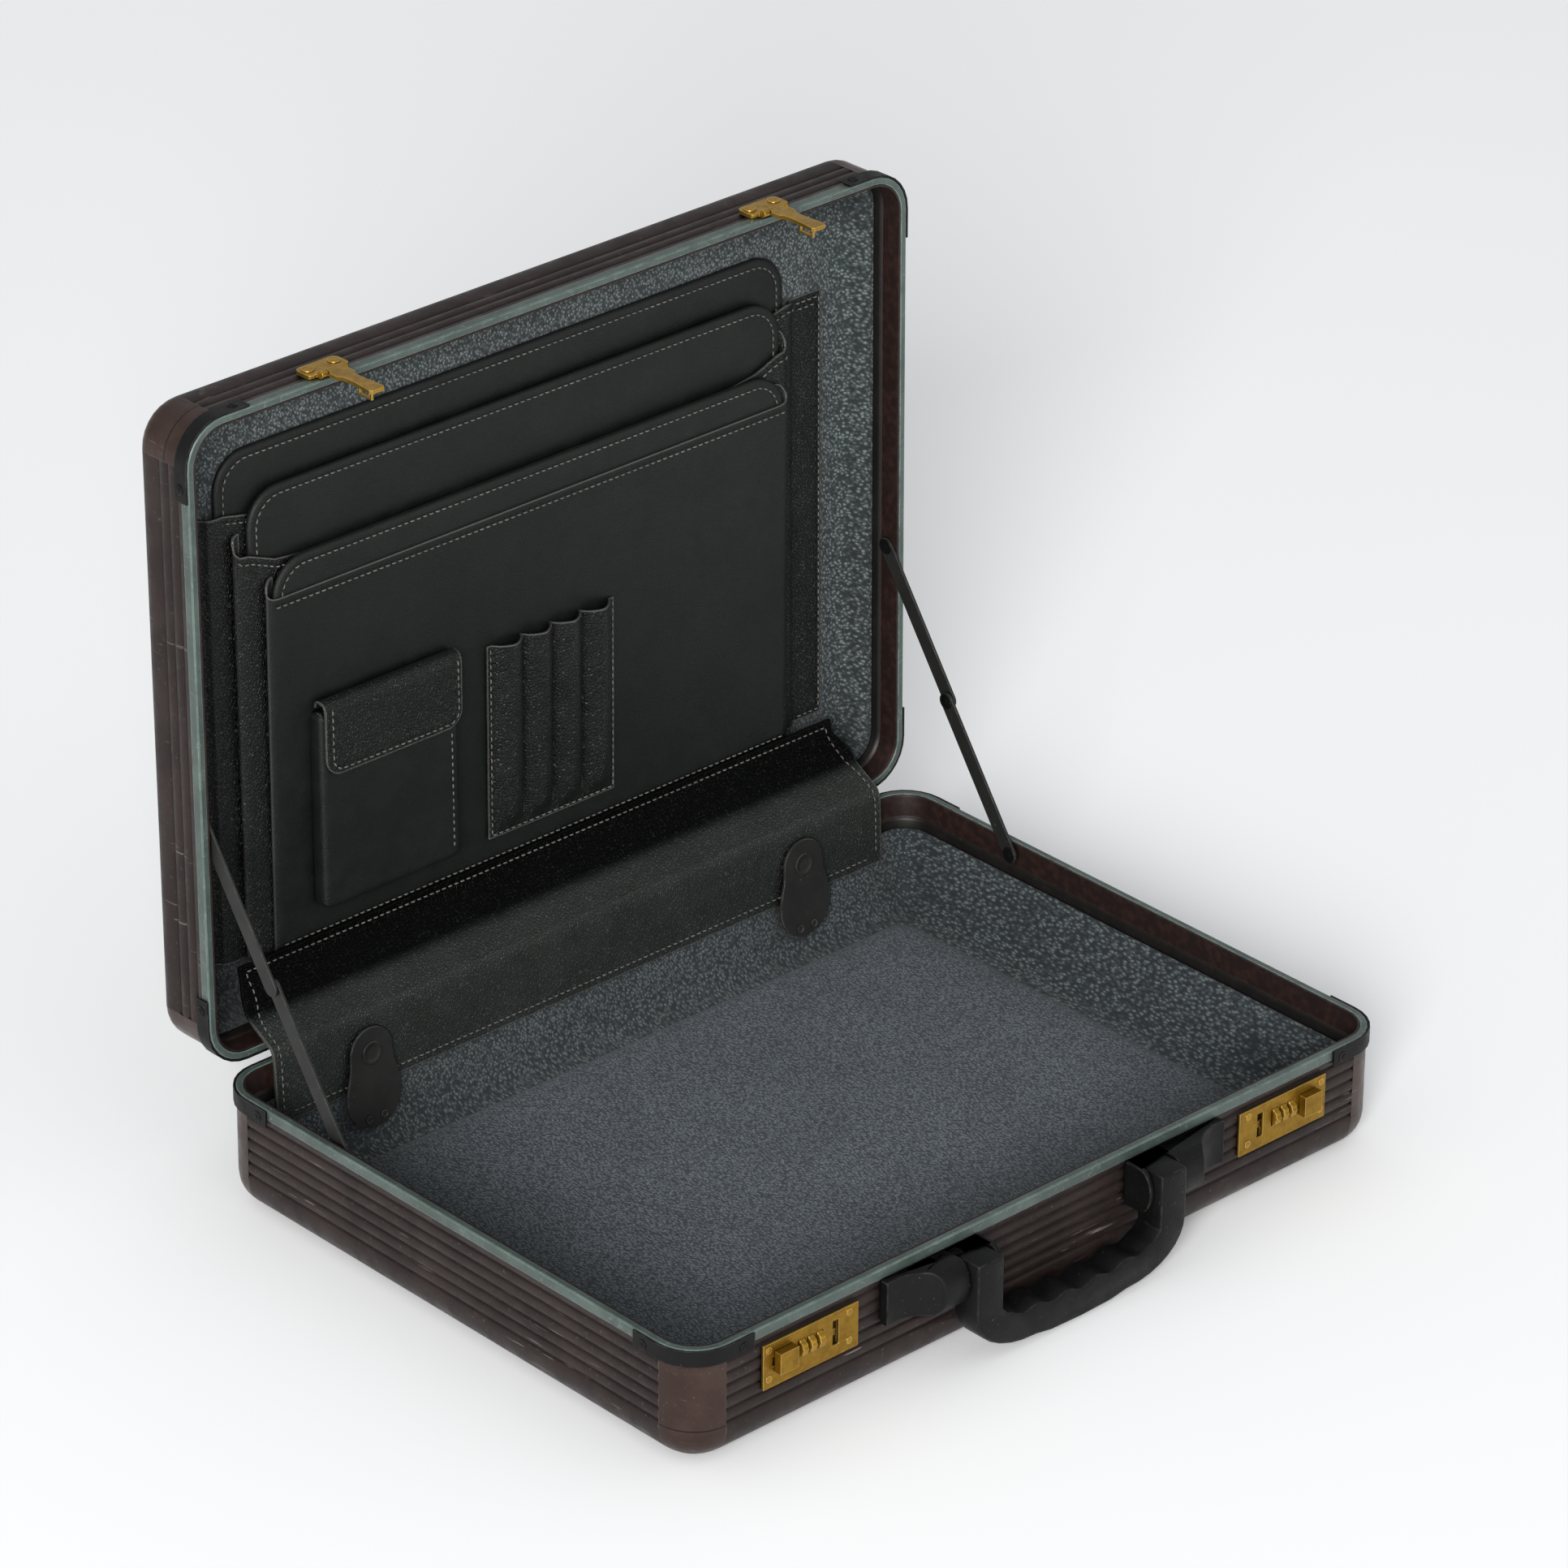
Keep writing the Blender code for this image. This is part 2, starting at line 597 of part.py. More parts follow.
# ---------------------------------------------------------------- hinge
HINGE_HALF = 0.170
HINGE_KNUCKLES = 9
HINGE_BARREL = 0.0027
HINGE_PIN = 0.0013
HINGE_LEAF = 0.0009


def build_hinge():
    """A piano hinge along the rear wall: two leaves with turned knuckles, and one pin."""
    pitch = 2 * HINGE_HALF / HINGE_KNUCKLES
    for prefix, face, odd, parent in (("base", 1, 0, None), ("lid", -1, 1, lid)):
        wall = HALF_Y + RIM_PROUD + GAP
        z_far, z_near = RIM_PLANE - face * 0.0150, RIM_PLANE - face * 0.0002
        low, high = sorted((z_far, z_near))
        leaf = add_piece(f"{prefix}_hinge_leaf",
                         block(-HINGE_HALF, HINGE_HALF, wall, wall + HINGE_LEAF, low, high),
                         "black_metal", parent)
        for i in range(HINGE_KNUCKLES):
            start, end = -HINGE_HALF + i * pitch, -HINGE_HALF + (i + 1) * pitch
            if i % 2 == odd:
                barrel = disc("x", (HINGE_Y, RIM_PLANE), HINGE_BARREL, start + GAP, end - GAP, sides=14)
                join(leaf, barrel)
            else:
                gap_start, gap_end = start - GAP / 2, end + GAP / 2
                reach = HINGE_BARREL + 0.0006
                cut(leaf, block(gap_start, gap_end, wall - 0.001, HINGE_Y,
                                *sorted((RIM_PLANE - face * reach, RIM_PLANE + face * 0.002))))
        cut(leaf, disc("x", (HINGE_Y, RIM_PLANE), HINGE_PIN + 0.00015, -HINGE_HALF - 0.01,
                       HINGE_HALF + 0.01, sides=14))
    pin = disc("x", (HINGE_Y, RIM_PLANE), HINGE_PIN, -HINGE_HALF - 0.0006, HINGE_HALF + 0.0006, sides=14)
    cap = disc("x", (HINGE_Y, RIM_PLANE), HINGE_BARREL, -HINGE_HALF - 0.0006, -HINGE_HALF + 0.0010, sides=14)
    base_leaf = bpy.data.objects["base_hinge_leaf"]
    join(base_leaf, pin)
    join(base_leaf, cap)


# ---------------------------------------------------------------- stays
STAY_WIDTH = 0.0090
STAY_THICK = 0.0015
STAY_BASE = (0.0856, 0.0577)  # Y, Z of the pivot in the base
STAY_LID = (0.0393, RIM_PLANE + 0.0069)  # Y, Z of the pivot in the lid, closed
STAY_INNER = 0.2217  # inner face of the lower arm
STAY_OUTER = 0.2236  # inner face of the upper arm


def opened(y, z):
    """Where a point of the closed lid is when the lid is open."""
    dy, dz = y - HINGE_Y, z - RIM_PLANE
    c, s = cos(OPEN_ANGLE), sin(OPEN_ANGLE)
    return HINGE_Y + c * dy + s * dz, RIM_PLANE - s * dy + c * dz


def closed(y, z):
    """The reverse: where a point of the open lid is when the lid is closed."""
    dy, dz = y - HINGE_Y, z - RIM_PLANE
    c, s = cos(OPEN_ANGLE), sin(OPEN_ANGLE)
    return HINGE_Y + c * dy - s * dz, RIM_PLANE + s * dy + c * dz


def bar_outline(start, end, width):
    """A flat bar between two pivots, with round ends."""
    angle = atan2(end[1] - start[1], end[0] - start[0]) * 180 / pi
    return (arc(*end, width / 2, angle - 90, angle + 90, 8)
            + arc(*start, width / 2, angle + 90, angle + 270, 8))


def build_stay(side, s):
    lid_end = opened(*STAY_LID)
    elbow = ((lid_end[0] + STAY_BASE[0]) / 2, (lid_end[1] + STAY_BASE[1]) / 2)
    lower_axis = empty_at(f"stay_lower_axis_{side}", (s * STAY_INNER, *STAY_BASE))
    upper_axis = empty_at(f"stay_upper_axis_{side}", (s * STAY_OUTER, *STAY_LID), lid)
    lower = extrude(bar_outline(STAY_BASE, elbow, STAY_WIDTH), "x",
                    s * STAY_INNER, s * (STAY_INNER + STAY_THICK))
    arm = add_piece(f"stay_lower_{side}", lower, "black_metal", lower_axis)
    join(arm, disc("x", STAY_BASE, 0.0030, s * (STAY_INNER + 0.0005), s * (STAY_OUTER + STAY_THICK), 14))
    upper = extrude(bar_outline(STAY_LID, closed(*elbow), STAY_WIDTH), "x",
                    s * STAY_OUTER, s * (STAY_OUTER + STAY_THICK))
    add_piece(f"stay_upper_{side}", upper, "black_metal", upper_axis)


# ---------------------------------------------------------------- organiser and hinge cover
LID_FLOOR = LID_TOP - WALL - GAP - LINING  # inner surface of the lid's lining
BOARD = 0.0012
POCKET_Y = 0.1380
POCKETS = (
    # name, left edge, right edge, top edge, distance of the face from the lid's lining
    ("pocket_back", -0.1885, 0.1765, -0.1310, BOARD + GAP),
    ("pocket_middle", -0.1950, 0.1825, -0.1100, 0.0080),
    ("pocket_front", -0.1700, 0.1680, -0.0725, 0.0165),
)


def build_pockets():
    """File pockets: each is a board with a gusset on three sides, open at the top of the lid."""
    backing = LID_FLOOR - GAP
    for name, left, right, top, stand in POCKETS:
        face = LID_FLOOR - stand
        board = rounded_rect(left, right, top, POCKET_Y, (0.020, 0.020, 0.0, 0.0), 6)
        piece = add_piece(name, extrude(board, "z", face, face + BOARD), "leather", lid)
        deep = backing - (face + BOARD)
        if deep > 0.002:
            walls = ((left, left + BOARD), (right - BOARD, right))
            for x0, x1 in walls:
                join(piece, block(x0, x1, top + 0.034, POCKET_Y, face + 0.0004, backing))
            join(piece, block(left, right, POCKET_Y - BOARD, POCKET_Y, face + 0.0004, backing))
        backing = face - GAP


CARD = (-0.1470, -0.0585, 0.0060, 0.1190)  # x0, x1, y0, y1 of the card pocket
CARD_DEPTH = 0.0080
FLAP_DROP = 0.040
PENS = (-0.0355, 0.0465, 0.0135, 0.1210)
PEN_COUNT = 4
PEN_DEPTH = 0.0075
PEN_MARGIN = 0.0030
SEWN = 0.0005  # how far a sewn-on piece is let into the board behind it


def build_card_pocket():
    face = LID_FLOOR - POCKETS[2][4] - GAP
    x0, x1, y0, y1 = CARD
    body = rounded_rect(x0 + 0.001, x1 - 0.001, y0 + 0.006, y1, (0.001, 0.001, 0.004, 0.004), 3)
    piece = bpy.data.objects["pocket_front"]
    join(piece, extrude(body, "z", face - CARD_DEPTH, face + SEWN))
    cut(piece, block(x0 + 0.003, x1 - 0.003, y0, y1 - 0.002, face - CARD_DEPTH + 0.0016, face - 0.0012))
    pivot = empty_at("card_flap_pivot", (0.0, y0 + 0.0007, face - 0.0014), lid)
    top = rounded_rect(x0, x1, y0, y0 + FLAP_DROP, (0.001, 0.001, 0.008, 0.008), 4)
    front = face - CARD_DEPTH - GAP
    flap = add_piece("card_flap", extrude(top, "z", front - 0.0014, front), "leather", pivot)
    join(flap, block(x0, x1, y0, y0 + 0.0014, front - 0.0005, face - 0.0007))


def build_pen_sleeves():
    face = LID_FLOOR - POCKETS[2][4] - GAP
    x0, x1, y0, y1 = PENS
    piece = bpy.data.objects["pocket_front"]
    join(piece, block(x0, x1 + PEN_MARGIN, y0, y1, face - 0.0012, face + SEWN))
    pitch = (x1 - x0) / PEN_COUNT
    for i in range(PEN_COUNT):
        centre = x0 + (i + 0.5) * pitch
        steps = 10
        half = pitch / 2 - 0.0002
        outer, inner = [], []
        for k in range(steps + 1):
            a = pi * k / steps
            outer.append((centre + half * cos(a), face - 0.0006 - PEN_DEPTH * sin(a)))
            inner.append((centre + (half - 0.0011) * cos(a), face - 0.0013 - (PEN_DEPTH - 0.0018) * sin(a)))
        join(piece, extrude(outer, "y", y0, y1 - 0.001))
        cut(piece, extrude(inner, "y", y0 - 0.001, y1 - 0.004))


COVER_HALF = 0.2020
COVER_THICK = 0.0016
COVER_IN_LID = (  # centre line in the closed lid: Y and Z
    (POCKET_Y + 0.0020, LID_FLOOR - 0.0120),
    (0.1500, RIM_PLANE + 0.0135),
    (0.1570, RIM_PLANE + 0.0045),
)
COVER_IN_BASE = (  # and on over the rear rim, down the inside of the rear wall
    (0.1660, 0.0740), (0.1628, 0.0715), (0.1612, 0.0660), (0.1606, 0.0540),
    (0.1600, 0.0420), (0.1590, 0.0310),
)


def build_hinge_cover():
    """Soft cover over the hinge: from the organiser's foot, over the rear rim, down the rear wall."""
    points = [Vector(opened(*p)) for p in COVER_IN_LID] + [Vector(p) for p in COVER_IN_BASE]
    sides = ([], [])
    for i, point in enumerate(points):
        before, after = points[max(i - 1, 0)], points[min(i + 1, len(points) - 1)]
        along = (after - before).normalized()
        across = Vector((-along.y, along.x)) * COVER_THICK / 2
        sides[0].append(tuple(point + across))
        sides[1].append(tuple(point - across))
    outline = sides[0] + sides[1][::-1]
    add_piece("hinge_cover", extrude(outline, "x", -COVER_HALF, COVER_HALF), "leather")


TAB_X = 0.1444
TAB_TOP, TAB_BOTTOM = 0.0655, 0.0115
TAB_NECK, TAB_FOOT = 0.0133, 0.0172
TAB_FACE = 0.1592  # back face at the tab's top
TAB_LEAN = 0.085  # forward lean towards the foot, clear of the lining's fillet
TAB_THICK = 0.0016


def build_tab(side, s):
    """A keyhole-shaped snap tab: narrow round top, wider round foot."""
    outline = []
    steps = 28
    for k in range(steps):
        a = 2 * pi * k / steps
        height = (TAB_TOP + TAB_BOTTOM) / 2 + (TAB_TOP - TAB_BOTTOM) / 2 * sin(a)
        share = (height - TAB_BOTTOM) / (TAB_TOP - TAB_BOTTOM)
        blend = 0.5 - 0.5 * cos(pi * min(max((share - 0.35) / 0.35, 0.0), 1.0))
        half = TAB_FOOT + (TAB_NECK - TAB_FOOT) * blend
        reach = TAB_TOP - TAB_NECK if sin(a) > 0 else TAB_BOTTOM + TAB_FOOT
        span = TAB_NECK if sin(a) > 0 else TAB_FOOT
        over = abs(height - reach) / span if (height - reach) * sin(a) > 0 else 0.0
        outline.append((s * TAB_X + (1 if cos(a) > 0 else -1) * half * sqrt(max(1 - over * over, 0.0)), height))
    faces = [[(x, TAB_FACE - back - TAB_LEAN * (TAB_TOP - z), z) for x, z in outline]
             for back in (TAB_THICK, 0.0)]
    add_piece(f"cover_tab_{side}", stack(faces), "black_plastic")


# ---------------------------------------------------------------- assembly
def main():
    build_shell("base", BASE_GROOVES, BASE_HEIGHT, BASE_EDGE_RADIUS, in_base, None)
    build_shell("lid", LID_GROOVES, LID_HEIGHT, LID_EDGE_RADIUS, in_lid, lid)
    build_rims()
    build_linings()
    for side, s in SIDES.items():
        build_lock(side, s)
        build_hasp(side, s)
        build_handle_mount(side, s)
        build_stay(side, s)
        build_tab(side, s)
    cut_lock_windows()
    build_handle()
    build_hinge()
    build_pockets()
    build_card_pocket()
    build_pen_sleeves()
    build_hinge_cover()


main()
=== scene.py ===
"""Looks of the attache case: materials, leather, cloth, stitching, rivets, floor, light and camera.

Lengths are metres: +X right, -Y to the handle, +Z up. Pieces of the lid are laid out with the lid closed,
where they are easy to measure, and opened() turns them to the open rest pose.
"""
import math
from math import cos, pi, radians, sin

import bpy
from mathutils import Matrix, Vector


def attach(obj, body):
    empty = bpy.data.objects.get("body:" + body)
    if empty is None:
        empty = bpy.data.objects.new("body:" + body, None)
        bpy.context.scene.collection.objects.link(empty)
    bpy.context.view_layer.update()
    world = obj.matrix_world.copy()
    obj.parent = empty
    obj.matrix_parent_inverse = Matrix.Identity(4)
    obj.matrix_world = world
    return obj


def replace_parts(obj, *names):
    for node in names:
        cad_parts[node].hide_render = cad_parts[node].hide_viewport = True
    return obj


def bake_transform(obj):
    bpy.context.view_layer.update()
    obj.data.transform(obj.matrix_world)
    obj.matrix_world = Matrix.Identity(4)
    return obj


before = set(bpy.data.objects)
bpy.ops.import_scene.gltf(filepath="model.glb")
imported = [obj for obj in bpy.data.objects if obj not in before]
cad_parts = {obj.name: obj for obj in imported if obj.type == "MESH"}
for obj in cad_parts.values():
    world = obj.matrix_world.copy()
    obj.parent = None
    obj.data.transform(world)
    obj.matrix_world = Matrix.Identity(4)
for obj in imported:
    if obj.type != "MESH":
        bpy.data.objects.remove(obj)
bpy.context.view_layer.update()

# -------- the case's main sizes
HALF_X, HALF_Y = 0.230, 0.170
CORNER = 0.022
RIM = 0.0635            # height of the rims' meeting plane
LID_TOP = 0.103         # outside of the closed lid
LID_FLOOR = 0.1003      # inside of the closed lid's lining
HINGE_Y, HINGE_Z = 0.1735, 0.0635
OPEN = radians(90.8)
SIDES = (("left", -1), ("right", 1))


def opened(x, y, z):
    """A point of the closed lid, as it lies in the open rest pose."""
    dy, dz = y - HINGE_Y, z - HINGE_Z
    return Vector((x, HINGE_Y + cos(OPEN) * dy + sin(OPEN) * dz, HINGE_Z - sin(OPEN) * dy + cos(OPEN) * dz))


def in_lid(x, y, depth):
    """A point of the lid, with its distance from the lining of the lid's floor."""
    return opened(x, y, LID_FLOOR - depth)


def plain(x, y, z):
    return Vector((x, y, z))


# -------- materials
def paint(code, alpha=1.0):
    """Linear colour of an sRGB code such as 3a2e2c."""
    values = [int(code[i:i + 2], 16) / 255 for i in (0, 2, 4)]
    return [v / 12.92 if v < 0.04045 else ((v + 0.055) / 1.055) ** 2.4 for v in values] + [alpha]


class Recipe:
    """A procedural material, built up one node at a time in the piece's own coordinates."""

    def __init__(self, name):
        self.material = bpy.data.materials.new(name)
        self.material.use_nodes = True
        self.tree = self.material.node_tree
        self.tree.nodes.clear()
        self.shader = self.node("ShaderNodeBsdfPrincipled")
        output = self.node("ShaderNodeOutputMaterial")
        self.tree.links.new(self.shader.outputs["BSDF"], output.inputs["Surface"])
        self.place = self.node("ShaderNodeTexCoord").outputs["Object"]
        self.x, self.y, self.z = self.node("ShaderNodeSeparateXYZ", {0: self.place}).outputs
        self.geometry = self.node("ShaderNodeNewGeometry")

    def node(self, kind, inputs=None, **settings):
        """A node with its settings, and with its inputs linked or set."""
        made = self.tree.nodes.new(kind)
        for key, value in settings.items():
            setattr(made, key, value)
        for key, value in (inputs or {}).items():
            self.feed(made.inputs[key], value)
        return made

    def feed(self, socket, value):
        """Links another socket to this one, or sets it to a number, a vector or a colour's code."""
        if isinstance(value, bpy.types.NodeSocket):
            self.tree.links.new(value, socket)
        else:
            socket.default_value = paint(value) if isinstance(value, str) else value

    def maths(self, operation, *values):
        return self.node("ShaderNodeMath", dict(enumerate(values)), operation=operation).outputs[0]

    def times(self, a, b):
        return self.maths("MULTIPLY", a, b)

    def span(self, value, low, high, to_low=0.0, to_high=1.0):
        """value from low..high to to_low..to_high, clamped, with soft ends."""
        numbers = dict(enumerate((value, low, high, to_low, to_high)))
        return self.node("ShaderNodeMapRange", numbers, interpolation_type="SMOOTHSTEP").outputs[0]

    def mapped(self, vector, scale, turn):
        inputs = {"Vector": vector, "Scale": scale, "Rotation": turn}
        return self.node("ShaderNodeMapping", inputs).outputs[0]

    def noise(self, size, detail=3.0, rough=0.5, distort=0.0, at=None):
        inputs = {"Vector": at or self.place, "Scale": 1 / size, "Detail": detail, "Roughness": rough,
                  "Distortion": distort}
        return self.node("ShaderNodeTexNoise", inputs).outputs["Fac"]

    def wavy(self, size, push):
        """The piece's coordinates, pushed to and fro by a noise of that size."""
        wobble = self.node("ShaderNodeTexNoise", {"Vector": self.place, "Scale": 1 / size})
        scaled = self.node("ShaderNodeVectorMath", {0: wobble.outputs["Color"], "Scale": push},
                           operation="SCALE")
        both = {0: self.place, 1: scaled.outputs[0]}
        return self.node("ShaderNodeVectorMath", both, operation="ADD").outputs[0]

    def cells(self, size, feature="F1", at=None, smooth=None, random=1.0):
        inputs = {"Vector": at or self.place, "Scale": 1 / size, "Randomness": random}
        if smooth is not None:
            inputs["Smoothness"] = smooth
        return self.node("ShaderNodeTexVoronoi", inputs, feature=feature).outputs["Distance"]

    def mix(self, factor, a, b):
        inputs = {"Factor": factor, "A": a, "B": b}
        return self.node("ShaderNodeMix", inputs, data_type="RGBA", clamp_factor=True).outputs["Result"]

    def rounded(self, radius):
        """A normal that softens hard edges by radius."""
        return self.node("ShaderNodeBevel", {"Radius": radius}, samples=4).outputs[0]

    def edges(self, radius):
        """How much an edge or corner is within radius: 0 on flats, 1 at sharp edges."""
        normals = {0: self.rounded(radius), 1: self.geometry.outputs["Normal"]}
        dot = self.node("ShaderNodeVectorMath", normals, operation="DOT_PRODUCT")
        return self.span(dot.outputs["Value"], 0.995, 0.85)

    def hollow(self, distance):
        """1 in the open, falling to 0 in crevices narrower than about distance."""
        settings = {"samples": 4, "only_local": False}
        return self.node("ShaderNodeAmbientOcclusion", {"Distance": distance}, **settings).outputs["AO"]

    def bump(self, height, depth, normal=None):
        inputs = {"Distance": depth, "Height": height}
        if normal is not None:
            inputs["Normal"] = normal
        return self.node("ShaderNodeBump", inputs).outputs[0]

    def done(self, color, rough, normal=None, metallic=0.0, specular=0.5, **sockets):
        self.feed(self.shader.inputs["Base Color"], color)
        self.feed(self.shader.inputs["Roughness"], rough)
        self.feed(self.shader.inputs["Metallic"], metallic)
        self.shader.inputs["Specular IOR Level"].default_value = specular
        if normal is not None:
            self.feed(self.shader.inputs["Normal"], normal)
        for name, value in sockets.items():
            self.shader.inputs[name.replace("_", " ")].default_value = value
        return self.material


def anodised(name, base, tint, light, rough, scratch=1.0, seam=None):
    """Dark anodised aluminium: mottled, with specks, faint scratches, worn edges, and painted shade in its
    grooves.
    """
    r = Recipe(name)
    patches = r.noise(0.030, 4, 0.62)
    color = r.mix(r.span(patches, 0.38, 0.66), base, tint)
    dust = r.span(r.noise(0.0022, 4, 0.7), 0.60, 0.80)
    color = r.mix(r.times(dust, 0.42), color, light)
    streaks = r.noise(0.0016, 2, 0.5, 0.3, r.mapped(r.place, (0.06, 0.06, 1.0), (0.3, 0.2, 0.5)))
    lines = r.span(streaks, 0.67, 0.74)
    where = r.span(r.noise(0.055, 2), 0.48, 0.62)
    lines = r.times(lines, r.times(where, 0.55 * scratch))
    color = r.mix(lines, color, light)
    chips = r.span(r.noise(0.0042, 3, 0.6, 0.8), 0.70, 0.76)
    chips = r.times(chips, r.times(r.span(r.noise(0.040, 2), 0.50, 0.66), 0.8))
    color = r.mix(chips, color, light)
    wear = r.times(r.edges(0.0008), r.span(r.noise(0.006, 3), 0.35, 0.75, 0.10, 0.60))
    color = r.mix(wear, color, light)
    # painted shade: darker in grooves and crevices, found by ambient occlusion
    unshaded = r.span(r.hollow(0.0036), 0.35, 0.92)
    color = r.mix(unshaded, "0c0908", color)
    if seam is not None:
        line = r.span(r.maths("ABSOLUTE", seam(r)), 0.00022, 0.00042)
        color = r.mix(line, "0c0908", color)
    gloss = r.span(r.noise(0.012, 4, 0.65), 0.3, 0.7, rough - 0.07, rough + 0.09)
    grain = r.bump(r.noise(0.0009, 3, 0.6), 0.00004, r.rounded(0.0005))
    normal = r.bump(r.maths("ADD", chips, lines), -0.00003, grain)
    return r.done(color, gloss, normal, metallic=0.35, specular=0.32)


def seam_height(height):
    """The joint line between a corner post and its cap, at that height of the base."""
    return lambda r: r.maths("SUBTRACT", r.z, height)


def lid_seam(height):
    """The same line on the open lid, whose height lies along the row's Y."""
    out = opened(0, 0, height).y
    return lambda r: r.maths("SUBTRACT", r.y, out)


def rim_metal(name, plan_y):
    """Grey-green band and lip outside, thin red-brown edge and dark brown inner wall."""
    r = Recipe(name)
    along = r.maths("MAXIMUM", r.maths("SUBTRACT", r.maths("ABSOLUTE", r.x), HALF_X - CORNER), 0.0)
    across = r.maths("MAXIMUM", r.maths("SUBTRACT", r.maths("ABSOLUTE", plan_y(r)), HALF_Y - CORNER), 0.0)
    far = r.maths("SQRT", r.maths("ADD", r.times(along, along), r.times(across, across)))
    inset = r.maths("SUBTRACT", CORNER, far)
    patches = r.noise(0.020, 4, 0.6)
    green = r.mix(r.span(patches, 0.35, 0.7), "414d49", "505d58")
    scuffs = r.span(r.noise(0.0040, 4, 0.7, 1.5), 0.56, 0.70)
    edge = r.edges(0.0007)
    bright = r.times(edge, r.span(r.noise(0.009, 3, 0.6), 0.30, 0.62, 0.25, 1.0))
    bright = r.maths("MAXIMUM", bright, r.times(scuffs, 0.22))
    green = r.mix(bright, green, "9fb0a9")
    brown = r.mix(r.span(r.noise(0.014, 5, 0.7), 0.35, 0.70), "0c0a08", "191511")
    brown = r.mix(r.span(r.noise(0.0035, 4, 0.7), 0.60, 0.78), brown, "29221d")
    ridge_wear = r.times(r.edges(0.0016), r.span(r.noise(0.005, 3), 0.35, 0.7, 0.05, 0.45))
    brown = r.mix(ridge_wear, brown, "463b34")
    lip = r.mix(r.span(r.noise(0.004, 3), 0.4, 0.7), "20130f", "301d18")
    inner = r.mix(r.span(inset, 0.0049, 0.0051), lip, brown)
    is_inner = r.span(inset, 0.00335, 0.00345)
    color = r.mix(is_inner, green, inner)
    # painted shade: darker in crevices and corners, found by ambient occlusion
    unshaded = r.span(r.hollow(0.004), 0.2, 0.8)
    color = r.mix(unshaded, "080605", color)
    gloss = r.mix(is_inner, (0.42, 0.42, 0.42, 1), (0.50, 0.50, 0.50, 1))
    grain = r.bump(r.noise(0.0011, 3, 0.6), 0.00005, r.rounded(0.0006))
    return r.done(color, gloss, grain, metallic=0.25, specular=0.5)


def moulded(name, base, light, rough, grain=0.0007, depth=0.00005, soft=0.0010, wear=0.5):
    """Moulded plastic or painted iron: fine grain, rubbed edges, slightly uneven gloss."""
    r = Recipe(name)
    patches = r.span(r.noise(0.020, 4, 0.6), 0.35, 0.7)
    color = r.mix(r.times(patches, 0.5), base, light)
    rub = r.times(r.edges(soft), r.span(r.noise(0.006, 4, 0.6), 0.38, 0.68, 0.08, 1.0))
    color = r.mix(r.times(rub, wear), color, "84847f")
    specks = r.span(r.noise(0.0016, 2), 0.70, 0.78, 0.0, 0.35)
    color = r.mix(specks, color, "6a6a66")
    # painted shade: darker in recesses, found by ambient occlusion
    unshaded = r.span(r.hollow(0.0030), 0.2, 0.85)
    color = r.mix(unshaded, "050505", color)
    gloss = r.span(r.noise(0.009, 3), 0.3, 0.7, rough - 0.06, rough + 0.08)
    height = r.maths("ADD", r.noise(grain, 3, 0.6), r.cells(grain * 1.3))
    normal = r.bump(height, depth, r.rounded(soft))
    return r.done(color, gloss, normal, specular=0.20)


def brassy(name, base, deep, rough):
    """Gilt brass: satin, mottled, bright at its edges, with orange-brown painted shade in its corners."""
    r = Recipe(name)
    color = r.mix(r.span(r.noise(0.006, 4, 0.65), 0.35, 0.70), base, deep)
    rub = r.edges(0.0006)
    color = r.mix(r.times(rub, 0.65), color, "f6d989")
    # painted shade: orange-brown in hollows and corners, found by ambient occlusion
    unshaded = r.span(r.hollow(0.0018), 0.15, 0.75)
    color = r.mix(unshaded, "3a2406", color)
    gloss = r.span(r.noise(0.003, 4, 0.7), 0.3, 0.7, rough - 0.06, rough + 0.10)
    brushed = r.noise(0.0006, 2, 0.5, 0.0, r.mapped(r.place, (0.08, 1.0, 1.0), (0, 0, 0)))
    normal = r.bump(r.maths("ADD", brushed, r.noise(0.004, 2)), 0.00004, r.rounded(0.0004))
    return r.done(color, gloss, normal, metallic=0.85, specular=0.5)


